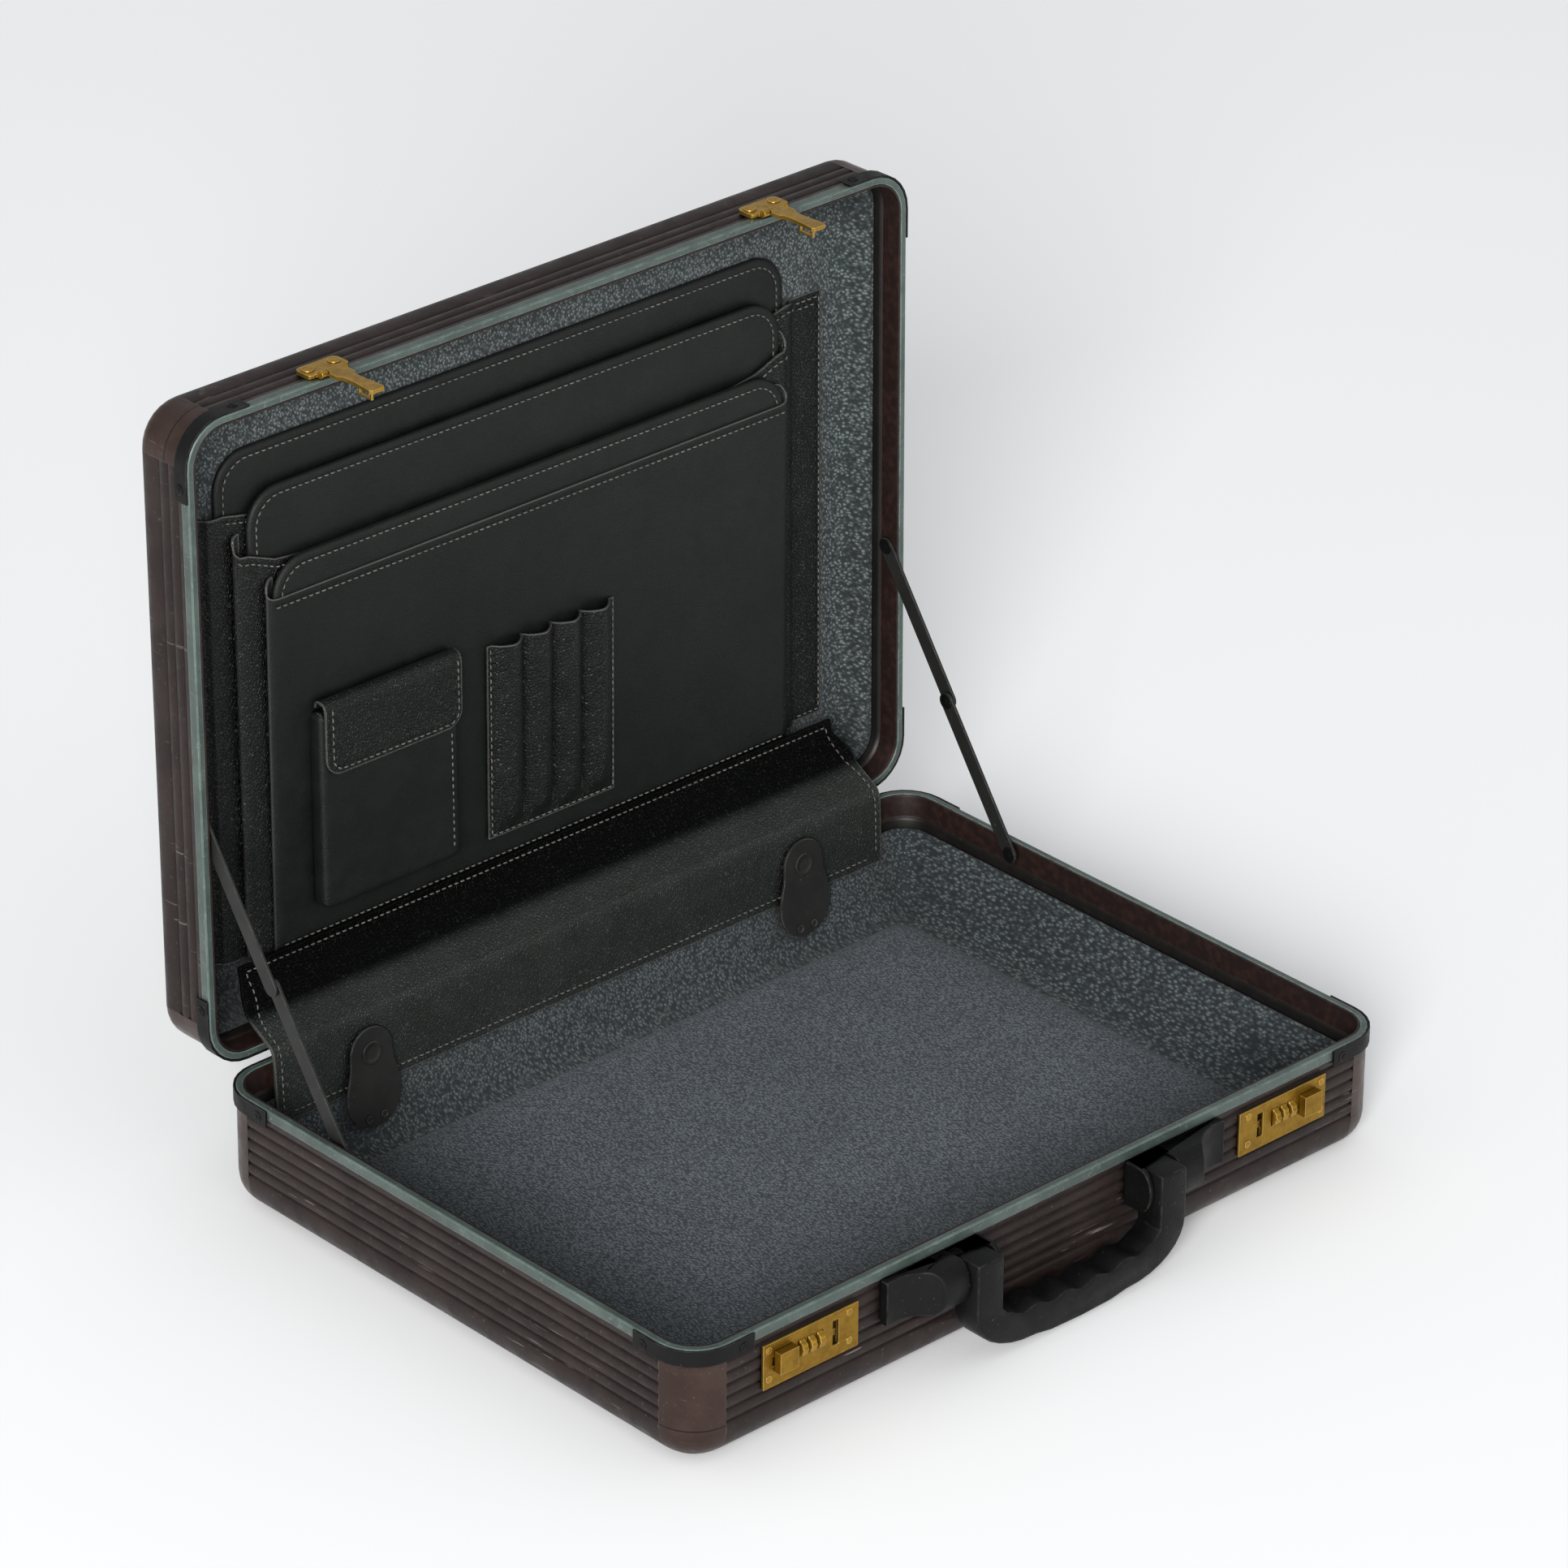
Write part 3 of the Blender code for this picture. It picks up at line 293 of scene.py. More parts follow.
def hide(name, base, light, rough, grain=0.0011, depth=0.00011, polish_and_highlight=0.25, warm=0.0, painted_shade_above=None):
    """Leather: pebbled grain with creases between the grains; its edges and folds carry worn polish and a
    painted highlight.
    """
    r = Recipe(name)
    patches = r.span(r.noise(0.030, 4, 0.6), 0.3, 0.7)
    color = r.mix(patches, base, light)
    if warm:
        stain = r.span(r.noise(0.022, 5, 0.7, 0.4), 0.45, 0.75)
        color = r.mix(r.times(stain, warm), color, "211c12")
    wavy = r.wavy(grain * 3, grain * 0.8)
    pebbles = r.cells(grain, "SMOOTH_F1", wavy, 0.35)
    creases = r.span(r.cells(grain, "DISTANCE_TO_EDGE", wavy), 0.0, 0.16)
    height = r.maths("ADD", r.times(creases, 0.7), r.times(pebbles, -0.5))
    height = r.maths("ADD", height, r.times(r.noise(grain * 9, 3), 2.0))
    color = r.mix(r.times(r.maths("SUBTRACT", 1.0, creases), 0.28), color, "0a0b0a")
    # worn polish and painted highlight: a light line along edges and folds
    rub = r.times(r.edges(0.0016), polish_and_highlight)
    color = r.mix(rub, color, "8a8a84")
    # painted shade: near-black in crevices and between pieces, found by ambient occlusion
    unshaded = r.span(r.hollow(0.008), 0.20, 0.95)
    color = r.mix(unshaded, "020202", color)
    gloss = r.span(r.noise(0.010, 4, 0.6), 0.3, 0.7, rough - 0.05, rough + 0.07)
    # painted shade: above that height the colour is made near-black, as that part lies in shade; gloss and
    # specular drop with it
    if painted_shade_above is not None:
        inside = r.span(r.z, painted_shade_above - 0.003, painted_shade_above + 0.003)
        color = r.mix(r.times(inside, 0.97), color, "010101")
        gloss = r.maths("SUBTRACT", gloss, r.times(inside, 0.12))
        r.done(color, gloss, r.bump(height, depth, r.rounded(0.0006)))
        r.feed(r.shader.inputs["Specular IOR Level"], r.span(inside, 0.0, 1.0, 0.36, 0.06))
        return r.material
    normal = r.bump(height, depth, r.rounded(0.0006))
    return r.done(color, gloss, normal, specular=0.30)


def woven(name, size, base, light, dark, depth, shade=None):
    """Lining cloth: short raised threads laid to and fro on a diagonal, over a darker ground."""
    r = Recipe(name)
    wavy = r.wavy(size * 3, size * 0.9)
    heights = []
    for turn in (radians(35), radians(-55)):
        laid = r.mapped(wavy, (1.0, 0.42, 0.8), (turn, turn, turn))
        heights.append(r.span(r.cells(size, "F1", laid, random=0.75), 0.62, 0.10))
    raised = r.maths("MAXIMUM", heights[0], r.times(heights[1], 0.85))
    fibre = r.noise(size * 0.30, 3, 0.6)
    patches = r.span(r.noise(0.050, 3, 0.6), 0.3, 0.7)
    color = r.mix(patches, dark, base)
    tops = r.times(r.span(raised, 0.55, 0.95), r.span(fibre, 0.3, 0.7, 0.25, 0.8))
    color = r.mix(tops, color, light)
    color = r.mix(r.span(raised, 0.05, 0.45, 0.75, 0.0), color, "14181b")
    if shade is not None:
        color = r.mix(shade(r), color, "0d1013")
    # painted shade: darker near walls and in corners, found by ambient occlusion
    unshaded = r.span(r.hollow(0.030), 0.25, 1.0)
    color = r.mix(unshaded, "14181b", color)
    height = r.maths("ADD", raised, r.times(fibre, 0.25))
    normal = r.bump(height, depth)
    return r.done(color, 0.74, normal, specular=0.32, Sheen_Weight=0.15, Sheen_Roughness=0.5)


def front_left_shade(r):
    """The floor darkens towards the front and left walls, which keep the light off it."""
    from_left = r.span(r.x, -0.205, -0.070, 0.80, 0.0)
    from_front = r.span(r.y, -0.150, -0.035, 0.80, 0.0)
    return r.maths("MAXIMUM", from_front, r.times(from_left, 0.75))


def thread(name, base, light):
    """Waxed sewing thread, with its twist showing."""
    r = Recipe(name)
    wave = {"Vector": r.place, "Scale": 900}
    twist = r.node("ShaderNodeTexWave", wave, wave_type="BANDS", bands_direction="DIAGONAL").outputs["Fac"]
    color = r.mix(twist, base, light)
    color = r.mix(r.span(r.noise(0.02, 3), 0.35, 0.65), color, base)
    return r.done(color, 0.62, r.bump(twist, 0.00008), specular=0.35)


M = {
    "rail": anodised("anodised_rails", "241b19", "2e2421", "8d837c", 0.44),
    "post": anodised("anodised_corner_posts", "33241f", "3f2f29", "8a7670", 0.36, 0.7,
                     seam_height(0.0190)),
    "lid_post": anodised("anodised_lid_corners", "33241f", "3f2f29", "8a7670", 0.36, 0.7,
                         lid_seam(LID_TOP - 0.0190)),
    "panel": anodised("anodised_panels", "241b19", "2d2321", "857b74", 0.46),
    "base_rim": rim_metal("rim_of_base", lambda r: r.y),
    "lid_rim": rim_metal("rim_of_lid", lambda r: r.maths("SUBTRACT", HINGE_Y + HINGE_Z, r.z)),
    "iron": moulded("painted_iron", "060606", "0b0b0a", 0.50, 0.0006, 0.00003, 0.0006, 0.30),
    "plastic": moulded("moulded_plastic", "070707", "0c0c0b", 0.48, 0.0008, 0.00006, 0.0012, 0.20),
    "brass": brassy("gilt_brass", "93701f", "7f5e17", 0.36),
    "brass_screw": brassy("gilt_screws", "ab842d", "916f22", 0.32),
    "leather": hide("leather_boards", "0e110f", "131614", 0.50, polish_and_highlight=0.55),
    "leather_fold": hide("leather_folds", "111412", "181a18", 0.38, 0.0015, 0.00030, 0.60),
    "leather_cover": hide("leather_cover", "202422", "272b29", 0.42, 0.0016, 0.00028, 0.50, 0.3, 0.0815),
    "floor_cloth": woven("lining_floor_weave", 0.0011, "4b545b", "8b959b", "414a51", 0.00030,
                         front_left_shade),
    "side_cloth": woven("lining_side_pebble", 0.0017, "343c40", "78837f", "2b3336", 0.00055),
    "lid_cloth": woven("lid_lining_pebble", 0.0017, "444d4d", "939d99", "394140", 0.00055),
    "stay_iron": moulded("stay_iron", "222221", "2c2c2a", 0.42, 0.0006, 0.00003, 0.0006, 0.45),
    "tab_plastic": moulded("tab_plastic", "232322", "2d2d2b", 0.44, 0.0007, 0.00004, 0.0008, 0.45),
    "thread": thread("sewing_thread", "55564f", "77776c"),
    "steel": moulded("hinge_steel", "2d2d2c", "3a3a38", 0.35, 0.0008, 0.00002, 0.0005, 0.7),
}


# -------- CAD nodes that stay
def refine(node, material, bevel=0.0, segments=2, smooth_angle=35):
    """Gives a CAD node its material and lets modifiers join, soften and smooth its mesh."""
    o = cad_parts[node]
    o.data.materials.clear()
    o.data.materials.append(M[material])
    if "custom_normal" in o.data.attributes:
        o.data.attributes.remove(o.data.attributes["custom_normal"])
    o.data.polygons.foreach_set("use_smooth", [True] * len(o.data.polygons))
    weld = o.modifiers.new("weld", "WELD")
    weld.merge_threshold = 0.00002
    if bevel:
        flat = o.modifiers.new("flats", "DECIMATE")
        flat.decimate_type = "DISSOLVE"
        flat.angle_limit = radians(0.8)
        soft = o.modifiers.new("soft_edges", "BEVEL")
        soft.width = bevel
        soft.segments = segments
        soft.limit_method = "ANGLE"
        soft.angle_limit = radians(smooth_angle)
        soft.harden_normals = True
    split = o.modifiers.new("sharp_edges", "EDGE_SPLIT")
    split.split_angle = radians(smooth_angle)
    return o


SHELL_NODES = {
    "base_panel": "panel", "lid_panel": "panel", "base_rim": "base_rim", "lid_rim": "lid_rim",
    "base_lining": "side_cloth", "lid_lining": "lid_cloth",
    "base_hinge_leaf": "steel", "lid_hinge_leaf": "steel", "handle_grip": "plastic",
}
for part in ("base", "lid"):
    for side in ("front", "back", "left", "right"):
        SHELL_NODES[f"{part}_rail_{side}"] = "rail"
    for corner in ("front_left", "front_right", "back_left", "back_right"):
        SHELL_NODES[f"{part}_corner_{corner}"] = "post" if part == "base" else "lid_post"
        SHELL_NODES[f"{part}_bracket_{corner}"] = "iron"
for side in ("left", "right"):
    for node, material in (("handle_mount_", "plastic"), ("lock_plate_", "brass"),
                           ("lock_button_", "brass"), ("hasp_base_", "brass_screw"),
                           ("hasp_tongue_", "brass_screw"), ("cover_tab_", "tab_plastic"),
                           ("stay_lower_", "stay_iron"), ("stay_upper_", "stay_iron")):
        SHELL_NODES[node + side] = material
    for i in (1, 2, 3):
        SHELL_NODES[f"dial_{side}_{i}"] = "brass"
for leather in ("pocket_back", "pocket_middle", "pocket_front", "hinge_cover", "card_flap"):
    SHELL_NODES[leather] = "leather"
SOFT_EDGES = {"lock_button": 0.0006, "lock_plate": 0.0003, "hasp_base": 0.0004, "hasp_tongue": 0.0003,
              "handle_mount": 0.0010, "stay": 0.0004, "cover_tab": 0.0005}
for node, material in SHELL_NODES.items():
    refine(node, material, next((w for start, w in SOFT_EDGES.items() if node.startswith(start)), 0.0))


# -------- mesh building
def add_mesh(name, points, faces, material, body, slot=None, place=plain, smooth=True):
    """A mesh piece that rides on a body. place turns its layout points into the row frame."""
    mesh = bpy.data.meshes.new(name)
    mesh.from_pydata([tuple(place(*p)) for p in points], [], faces)
    mesh.validate()
    mesh.polygons.foreach_set("use_smooth", [smooth] * len(mesh.polygons))
    mesh.materials.append(M[material])
    o = bpy.data.objects.new(name, mesh)
    bpy.context.scene.collection.objects.link(o)
    if body:
        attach(o, body)
    return o


def settle(o, thick=0.0, offset=-1.0, bevel=0.0, angle=40):
    """Adds thickness, soft edges and sharp-edge shading to a piece as modifiers."""
    if thick:
        solid = o.modifiers.new("thickness", "SOLIDIFY")
        solid.thickness = thick
        solid.offset = offset
        solid.use_even_offset = True
    if bevel:
        soft = o.modifiers.new("soft_edges", "BEVEL")
        soft.width = bevel
        soft.segments = 2
        soft.limit_method = "ANGLE"
        soft.angle_limit = radians(45)
    split = o.modifiers.new("sharp_edges", "EDGE_SPLIT")
    split.split_angle = radians(angle)
    return o


def rounded(x0, x1, y0, y1, radii, inset=0.0, steps=8):
    """Outline of a rectangle with its own radius at each corner: (x0,y0), (x1,y0), (x1,y1), (x0,y1)."""
    corners = ((x0, y0, 180), (x1, y0, 270), (x1, y1, 0), (x0, y1, 90))
    line = []
    for (x, y, start), radius in zip(corners, radii):
        sx, sy = (1 if x == x0 else -1), (1 if y == y0 else -1)
        r = max(radius - inset, 0.0002)
        cx, cy = x + sx * (inset + r), y + sy * (inset + r)
        for k in range(steps + 1):
            a = radians(start + 90 * k / steps)
            line.append((cx + r * cos(a), cy + r * sin(a)))
    return line


def stacked(loops, cap_first=True):
    """Points and faces through loops of equal length, with flat ends."""
    count = len(loops[0])
    points = [p for loop in loops for p in loop]
    faces = []
    for i in range(len(loops) - 1):
        a, b = i * count, (i + 1) * count
        faces += [(a + k, a + (k + 1) % count, b + (k + 1) % count, b + k) for k in range(count)]
    if cap_first:
        faces.append(tuple(reversed(range(count))))
    last = (len(loops) - 1) * count
    faces.append(tuple(range(last, last + count)))
    return points, faces


def grid(rows):
    """Points and faces of a sheet, given row by row."""
    wide = len(rows[0])
    points = [p for row in rows for p in row]
    faces = []
    for i in range(len(rows) - 1):
        for k in range(wide - 1):
            a, b = i * wide + k, (i + 1) * wide + k
            faces.append((a, a + 1, b + 1, b))
    return points, faces


def turned(profile, segments=24, wave=0.0, waves=0):
    """Points and faces of a profile of (radius, height) turned about +Z, rippled by wave if asked."""
    loops = []
    for radius, height in profile:
        loop = []
        for k in range(segments):
            a = 2 * pi * k / segments
            r = radius * (1 + wave * cos(waves * a))
            loop.append((r * cos(a), r * sin(a), height))
        loops.append(loop)
    return stacked(loops)


def joined(shapes):
    """Several (points, faces) as one."""
    points, faces = [], []
    for more, links in shapes:
        shift = len(points)
        points += more
        faces += [tuple(i + shift for i in f) for f in links]
    return points, faces


def moved(shape, centre, out):
    """A shape made about the origin with +Z up, set at centre with its Z along out."""
    z = Vector(out).normalized()
    side = Vector((1, 0, 0)) if abs(z.x) < 0.9 else Vector((0, 1, 0))
    y = z.cross(side).normalized()
    x = y.cross(z)
    points, faces = shape
    c = Vector(centre)
    return [tuple(c + x * p[0] + y * p[1] + z * p[2]) for p in points], faces


def resampled(line, pitch):
    """Points along a polyline at an even pitch, each with its direction."""
    points = [Vector(p) for p in line]
    lengths = [(b - a).length for a, b in zip(points, points[1:])]
    total = sum(lengths)
    count = max(1, round(total / pitch))
    out, i, passed = [], 0, 0.0
    for k in range(count):
        at = (k + 0.5) * total / count
        while i < len(lengths) - 1 and passed + lengths[i] < at:
            passed += lengths[i]
            i += 1
        a, b = points[i], points[i + 1]
        share = (at - passed) / max(lengths[i], 1e-9)
        out.append((a.lerp(b, share), (b - a).normalized()))
    return out


STITCH_PITCH, STITCH_LONG, STITCH_WIDE = 0.0040, 0.0027, 0.00042
STITCH_SHAPE = (        # share of its length, relative width and lift
    (-0.5, 0.35, -0.6), (-0.28, 1.0, 0.35), (0.0, 1.1, 0.55), (0.28, 1.0, 0.35), (0.5, 0.35, -0.6),
)


def stitches(lines, out):
    """Short raised stitches along polylines. out(point) is the way that the surface faces."""
    shapes = []
    for line in lines:
        for place, ahead in resampled(line, STITCH_PITCH):
            up = Vector(out(place)).normalized()
            side = ahead.cross(up).normalized()
            loops = []
            for share, size, lift in STITCH_SHAPE:
                middle = place + ahead * share * STITCH_LONG + up * lift * STITCH_WIDE
                loops.append([tuple(middle + (side * cos(a) + up * 0.75 * sin(a)) * STITCH_WIDE * size)
                              for a in (2 * pi * k / 6 for k in range(6))])
            shapes.append(stacked(loops))
    return joined(shapes)


def on_lid(name, points, faces, material):
    """A leather piece of the organiser, laid out with the lid closed."""
    return add_mesh(name, points, faces, material, "lid", "leather", in_lid)


def sew(name, lines, body="lid", out=None):
    """Stitching as a piece of its own; it faces the organiser's way unless told otherwise."""
    return add_mesh(name, *stitches(lines, out or (lambda p: LID_OUT)), "thread", body, "leather")


# -------- organiser in the lid
LID_OUT = Vector(opened(0, 0, 0)) - Vector(opened(0, 0, 1))  # the way that the organiser faces
SHEET = 0.0011          # leather thickness
FLAPS = (
    # name, CAD node, left, right, top, foot, back and front distance from the lining
    ("flap_back", "pocket_back", -0.1890, 0.1765, -0.1310, -0.060, 0.0004, 0.0036),
    ("flap_middle", "pocket_middle", -0.1742, 0.1690, -0.1095, -0.045, 0.0062, 0.0094),
    ("flap_front", "pocket_front", -0.1655, 0.1655, -0.0727, -0.046, 0.0134, 0.0164),
)
FLAP_RADIUS, ROLL = 0.020, 0.0013
DIP_REACH = 0.030       # over which an open pocket's edge sinks to its full sag
FLAP_SHEET = 0.0014     # the card flap's leather
FACE_TOP, FACE_FOOT = 0.0186, 0.0158   # the front pocket's face leans: distance from the lining at each end
FRONT_TOP, FRONT_FOOT = -0.0548, 0.1376


def face_depth(y):
    """Distance of the front pocket's face from the lid's lining."""
    share = (y - FRONT_TOP) / (FRONT_FOOT - FRONT_TOP)
    return FACE_TOP + (FACE_FOOT - FACE_TOP) * share


def flap_board(name, left, right, top, foot, back, front):
    """A stiff board in leather, with a rolled edge and a sewn channel round it."""
    radii = (FLAP_RADIUS, FLAP_RADIUS, 0.001, 0.001)
    section = [(0.0006, back), (0.0, back + 0.0006), (0.0, front - ROLL), (ROLL * 0.3, front - ROLL * 0.32),
               (ROLL, front), (0.0030, front + 0.0002), (0.0038, front), (0.0046, front - 0.0003),
               (0.0054, front - 0.0001), (0.0070, front)]
    loops = [[(x, y, depth) for x, y in rounded(left, right, top, foot, radii, inset, 12)]
             for inset, depth in section]
    piece = on_lid(name, *stacked(loops), "leather")
    line = rounded(left, right, top, foot, radii, 0.0046, 12)
    seam = [in_lid(x, y, front) for x, y in line[-14:] + line[:27]]
    return piece, seam


def edge_dip(x, left, right, dip):
    """How far an open pocket's edge sags between its two held ends."""
    end = min(x - left, right - x)
    share = min(max(end / DIP_REACH, 0.0), 1.0)
    return dip * share * share * (3 - 2 * share)


def pocket_sheet(name, section, opening, foot):
    """Leather wrapped over a gusset: section gives (x, depth), opening(x, depth) the top edge's y."""
    rows = []
    count = 14
    for i in range(count + 1):
        share = i / count
        rows.append([(x, opening(x, d) + (foot - opening(x, d)) * share ** 1.3, d) for x, d in section])
    points, faces = grid(rows)
    piece = on_lid(name, points, faces, "leather_fold")
    return settle(piece, SHEET, 1.0, angle=50)


def smooth_line(points, steps=6):
    """A soft curve through points (Catmull-Rom)."""
    line = []
    wide = [points[0], *points, points[-1]]
    for p0, p1, p2, p3 in zip(wide, wide[1:], wide[2:], wide[3:]):
        for k in range(steps):
            t = k / steps
            line.append(tuple(
                0.5 * (2 * b + (c - a) * t + (2 * a - 5 * b + 4 * c - d) * t * t
                       + (3 * b - a - 3 * c + d) * t ** 3)
                for a, b, c, d in zip(p0, p1, p2, p3)))
    return line + [tuple(points[-1])]


def across(left, right, count, depth):
    """Evenly spaced points of a flat run."""
    return [(left + (right - left) * k / count, depth) for k in range(count + 1)]


def build_flaps():
    """The three stiff flaps that rise out of the pockets."""
    seams = []
    for name, node, *sizes in FLAPS:
        piece, seam = flap_board(name, *sizes)
        seams.append(seam)
        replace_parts(piece, node)
    sew("flap_stitches", seams)


def build_back_pocket():
    """The widest pocket, with a flange sewn to the lining on each side."""
    left, right, depth = -0.1950, 0.1825, 0.0056
    section = smooth_line([(-0.2075, 0.0013), (-0.1990, 0.0013), (-0.1965, 0.0024), (-0.1945, 0.0048),
                           (-0.1915, depth)], 4)
    section += across(-0.1860, 0.1770, 22, depth)
    section += smooth_line([(0.1795, depth), (0.1815, 0.0045), (0.1826, 0.0022), (0.1850, 0.0013),
                            (0.2045, 0.0013)], 4)
    top = -0.1010

    def opening(x, d):
        return top + edge_dip(x, left + 0.008, right - 0.004, 0.006)
    piece = pocket_sheet("back_pocket", section, opening, FRONT_FOOT)
    seams = [[(x, opening(x, d) + 0.0035, d) for x, d in section if -0.19 < x < right]]
    high, low, flat = top + 0.0030, FRONT_FOOT - 0.0030, 0.0013
    seams.append([(0.1860, high, flat), (0.2022, high, flat), (0.2022, low, flat), (0.1870, low, flat)])
    seams.append([(0.1875, top + 0.0065, flat), (0.2000, top + 0.0065, flat)])
    seams.append([(-0.2050, high, flat), (-0.2050, low, flat)])
    seams = [[in_lid(x, y, d + SHEET) for x, y, d in line] for line in seams]
    sew("back_pocket_stitches", seams)
    return piece


def build_middle_pocket():
    """Its gussets bulge outwards, and its open edge sags between them."""
    front = 0.0118
    section = smooth_line([(-0.1790, 0.0066), (-0.1825, 0.0072), (-0.1842, 0.0088), (-0.1838, 0.0106),
                           (-0.1815, front)], 5)
    section += across(-0.1760, 0.1660, 22, front)
    section += smooth_line([(0.1700, front), (0.1724, 0.0106), (0.1729, 0.0088), (0.1712, 0.0072),
                            (0.1680, 0.0066)], 5)

    def opening(x, d):
        slant = (front - d) * 2.1
        return -0.0800 - slant + edge_dip(x, -0.1815, 0.1700, 0.009)
    piece = pocket_sheet("middle_pocket", section, opening, FRONT_FOOT)
    held = [(x, d) for x, d in section if -0.1835 < x < 0.1722 and d > 0.0100]
    seam = [in_lid(x, opening(x, d) + 0.0038, d + SHEET) for x, d in held]
    sew("middle_pocket_stitches", [seam])
    return piece


def build_front_pocket():
    """The front pocket's leaning face, with wide rolled gussets at its sides."""
    rows = []
    shape = smooth_line([(-0.1640, -0.0052), (-0.1672, -0.0046), (-0.1696, -0.0030), (-0.1697, -0.0014),
                         (-0.1672, -0.0003), (-0.1630, 0.0)], 6)
    shape += across(-0.1600, 0.1580, 26, 0.0)
    shape += smooth_line([(0.1615, 0.0), (0.1655, -0.0003), (0.1678, -0.0014), (0.1678, -0.0030),
                          (0.1656, -0.0046), (0.1620, -0.0052)], 6)
    count = 18
    for i in range(count + 1):
        share = i / count
        row = []
        for x, d in shape:
            y = FRONT_TOP + d * 2.0 + (FRONT_FOOT - FRONT_TOP - d * 2.0) * share
            row.append((x, y, face_depth(y) - SHEET + d))
        rows.append(row)
    piece = on_lid("front_pocket", *grid(rows), "leather")
    settle(piece, SHEET, 1.0, angle=50)
    seams = [[in_lid(x, y, face_depth(y)) for x in (-0.1665, -0.10, 0.0, 0.10, 0.1650)]
             for y in (FRONT_TOP + 0.0040, FRONT_FOOT - 0.0050)]
    sew("front_pocket_stitches", seams)
    return piece


CARD = (-0.1466, -0.0600, 0.0120, 0.1180)
CARD_FRONT = 0.0246
FLAP_X = (-0.1445, -0.0583)


def build_card_pocket():
    x0, x1, y0, y1 = CARD
    back = 0.0160
    radii = (0.0030, 0.0030, 0.0050, 0.0045)
    front = CARD_FRONT
    section = [(0.0002, back), (0.0, back + 0.001), (0.0, front - 0.0026), (0.0003, front - 0.0014),
               (0.0010, front - 0.0005), (0.0022, front), (0.0040, front + 0.0001), (0.0060, front)]
    loops = [[(x, y, depth) for x, y in rounded(x0, x1, y0, y1, radii, inset)] for inset, depth in section]
    on_lid("card_pocket", *stacked(loops), "leather")
    lip = [[(x, y, d) for x, y in rounded(x0 + 0.0016, x1 - 0.0016, y0 - 0.0004, y0 + 0.0050, (0.001,) * 4)]
           for d in (back + 0.0012, CARD_FRONT - 0.0018)]
    on_lid("card_pocket_mouth", *stacked(lip), "leather_fold")
    seam_x = x1 - 0.0042
    seam = [in_lid(seam_x, y, CARD_FRONT) for y in (y0 + 0.036, y1 - 0.006)]
    sew("card_pocket_stitches", [seam])


def build_card_flap():
    """One strip of leather, rolled over the pocket's top and down its front, with two round corners."""
    left, right = FLAP_X
    foot, radius, front = 0.0452, 0.0095, CARD_FRONT + 0.0016
    path = smooth_line([(0.0094, 0.0172), (0.0070, 0.0178), (0.0056, 0.0196), (0.0056, 0.0222),
                        (0.0066, 0.0246), (0.0092, front), (0.0130, front + 0.0002),
                        (0.0200, front + 0.0001), (0.0300, front), (0.0370, front)], 4)
    path += [(foot - radius * (1 - sin(radians(a))), front) for a in (8, 20, 32, 44, 56, 66, 76, 84, 90)]
    wide = [0.0, 0.015, 0.04, 0.08, *(0.15 + 0.7 * k / 12 for k in range(13)), 0.92, 0.96, 0.985, 1.0]
    rows = []
    for y, d in path:
        drop = max(0.0, y - (foot - radius))
        pull = radius - math.sqrt(max(radius * radius - drop * drop, 0.0)) if d >= front - 1e-6 else 0.0
        rows.append([(left + pull + (right - left - 2 * pull) * w, y, d) for w in wide])
    piece = add_mesh("card_pocket_flap", *grid(rows), "leather_fold", "card_flap", "leather", in_lid)
    settle(piece, FLAP_SHEET, 1.0, 0.0003, 50)
    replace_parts(piece, "card_flap")
    inset = 0.0034
    seam = [(left + inset, 0.0085, front), (left + inset, foot - radius, front)]
    turn, reach = [radians(a) for a in (20, 45, 70, 90)], radius - inset
    corner = [(left + radius - reach * cos(a), foot - radius + reach * sin(a), front) for a in turn]
    seam += corner + [(left + right - x, y, d) for x, y, d in reversed(corner)]
    seam += [(right - inset, foot - radius, front), (right - inset, 0.0085, front)]
    line = [in_lid(x, y, d + FLAP_SHEET) for x, y, d in seam]
    sew("card_flap_stitches", [line], "card_flap")


PENS = (-0.0350, 0.0452, 0.0140, 0.1213)
PEN_BULGE = 0.0070


def build_pen_sleeves():
    """One sheet pushed into four half tubes, pressed flat along its sewn foot and sides."""
    x0, x1, y0, y1 = PENS
    tube = (x1 - x0 - 0.0030) / 4
    wide = 14
    rows = []
    for i in range(25):
        share = (i / 24) ** 0.75
        y = y0 + (y1 - y0) * share
        foot = min(1.0, max(0.0, (y1 - 0.0055 - y) / 0.020))
        full = math.sqrt(1 - (1 - foot) ** 2.4)
        row = [(x0, y, face_depth(y) + 0.0006), (x0 + 0.0022, y, face_depth(y) + 0.0008)]
        for n in range(4):
            for k in range(wide + 1):
                t = k / wide
                if n and k == 0:
                    continue
                lean = t + 0.05 * sin(2 * pi * t)
                x = x0 + 0.0030 + (n + lean) * tube
                row.append((x, y, face_depth(y) + 0.0009 + PEN_BULGE * full * sin(pi * t) ** 0.62))
        row += [(x1 + 0.0012, y, face_depth(y) + 0.0008), (x1 + 0.0030, y, face_depth(y) + 0.0006)]
        rows.append(row)
    piece = on_lid("pen_sleeves", *grid(rows), "leather_fold")
    settle(piece, 0.0010, 1.0, angle=60)
    edge = [(x0 + 0.0012, y0 + 0.001), (x0 + 0.0012, y1 - 0.0022), (x1 + 0.0012, y1 - 0.0022),
            (x1 + 0.0012, y0 + 0.001)]
    seam = [in_lid(x, y, face_depth(y) + 0.0018) for x, y in edge]
    sew("pen_sleeve_stitches", [seam])


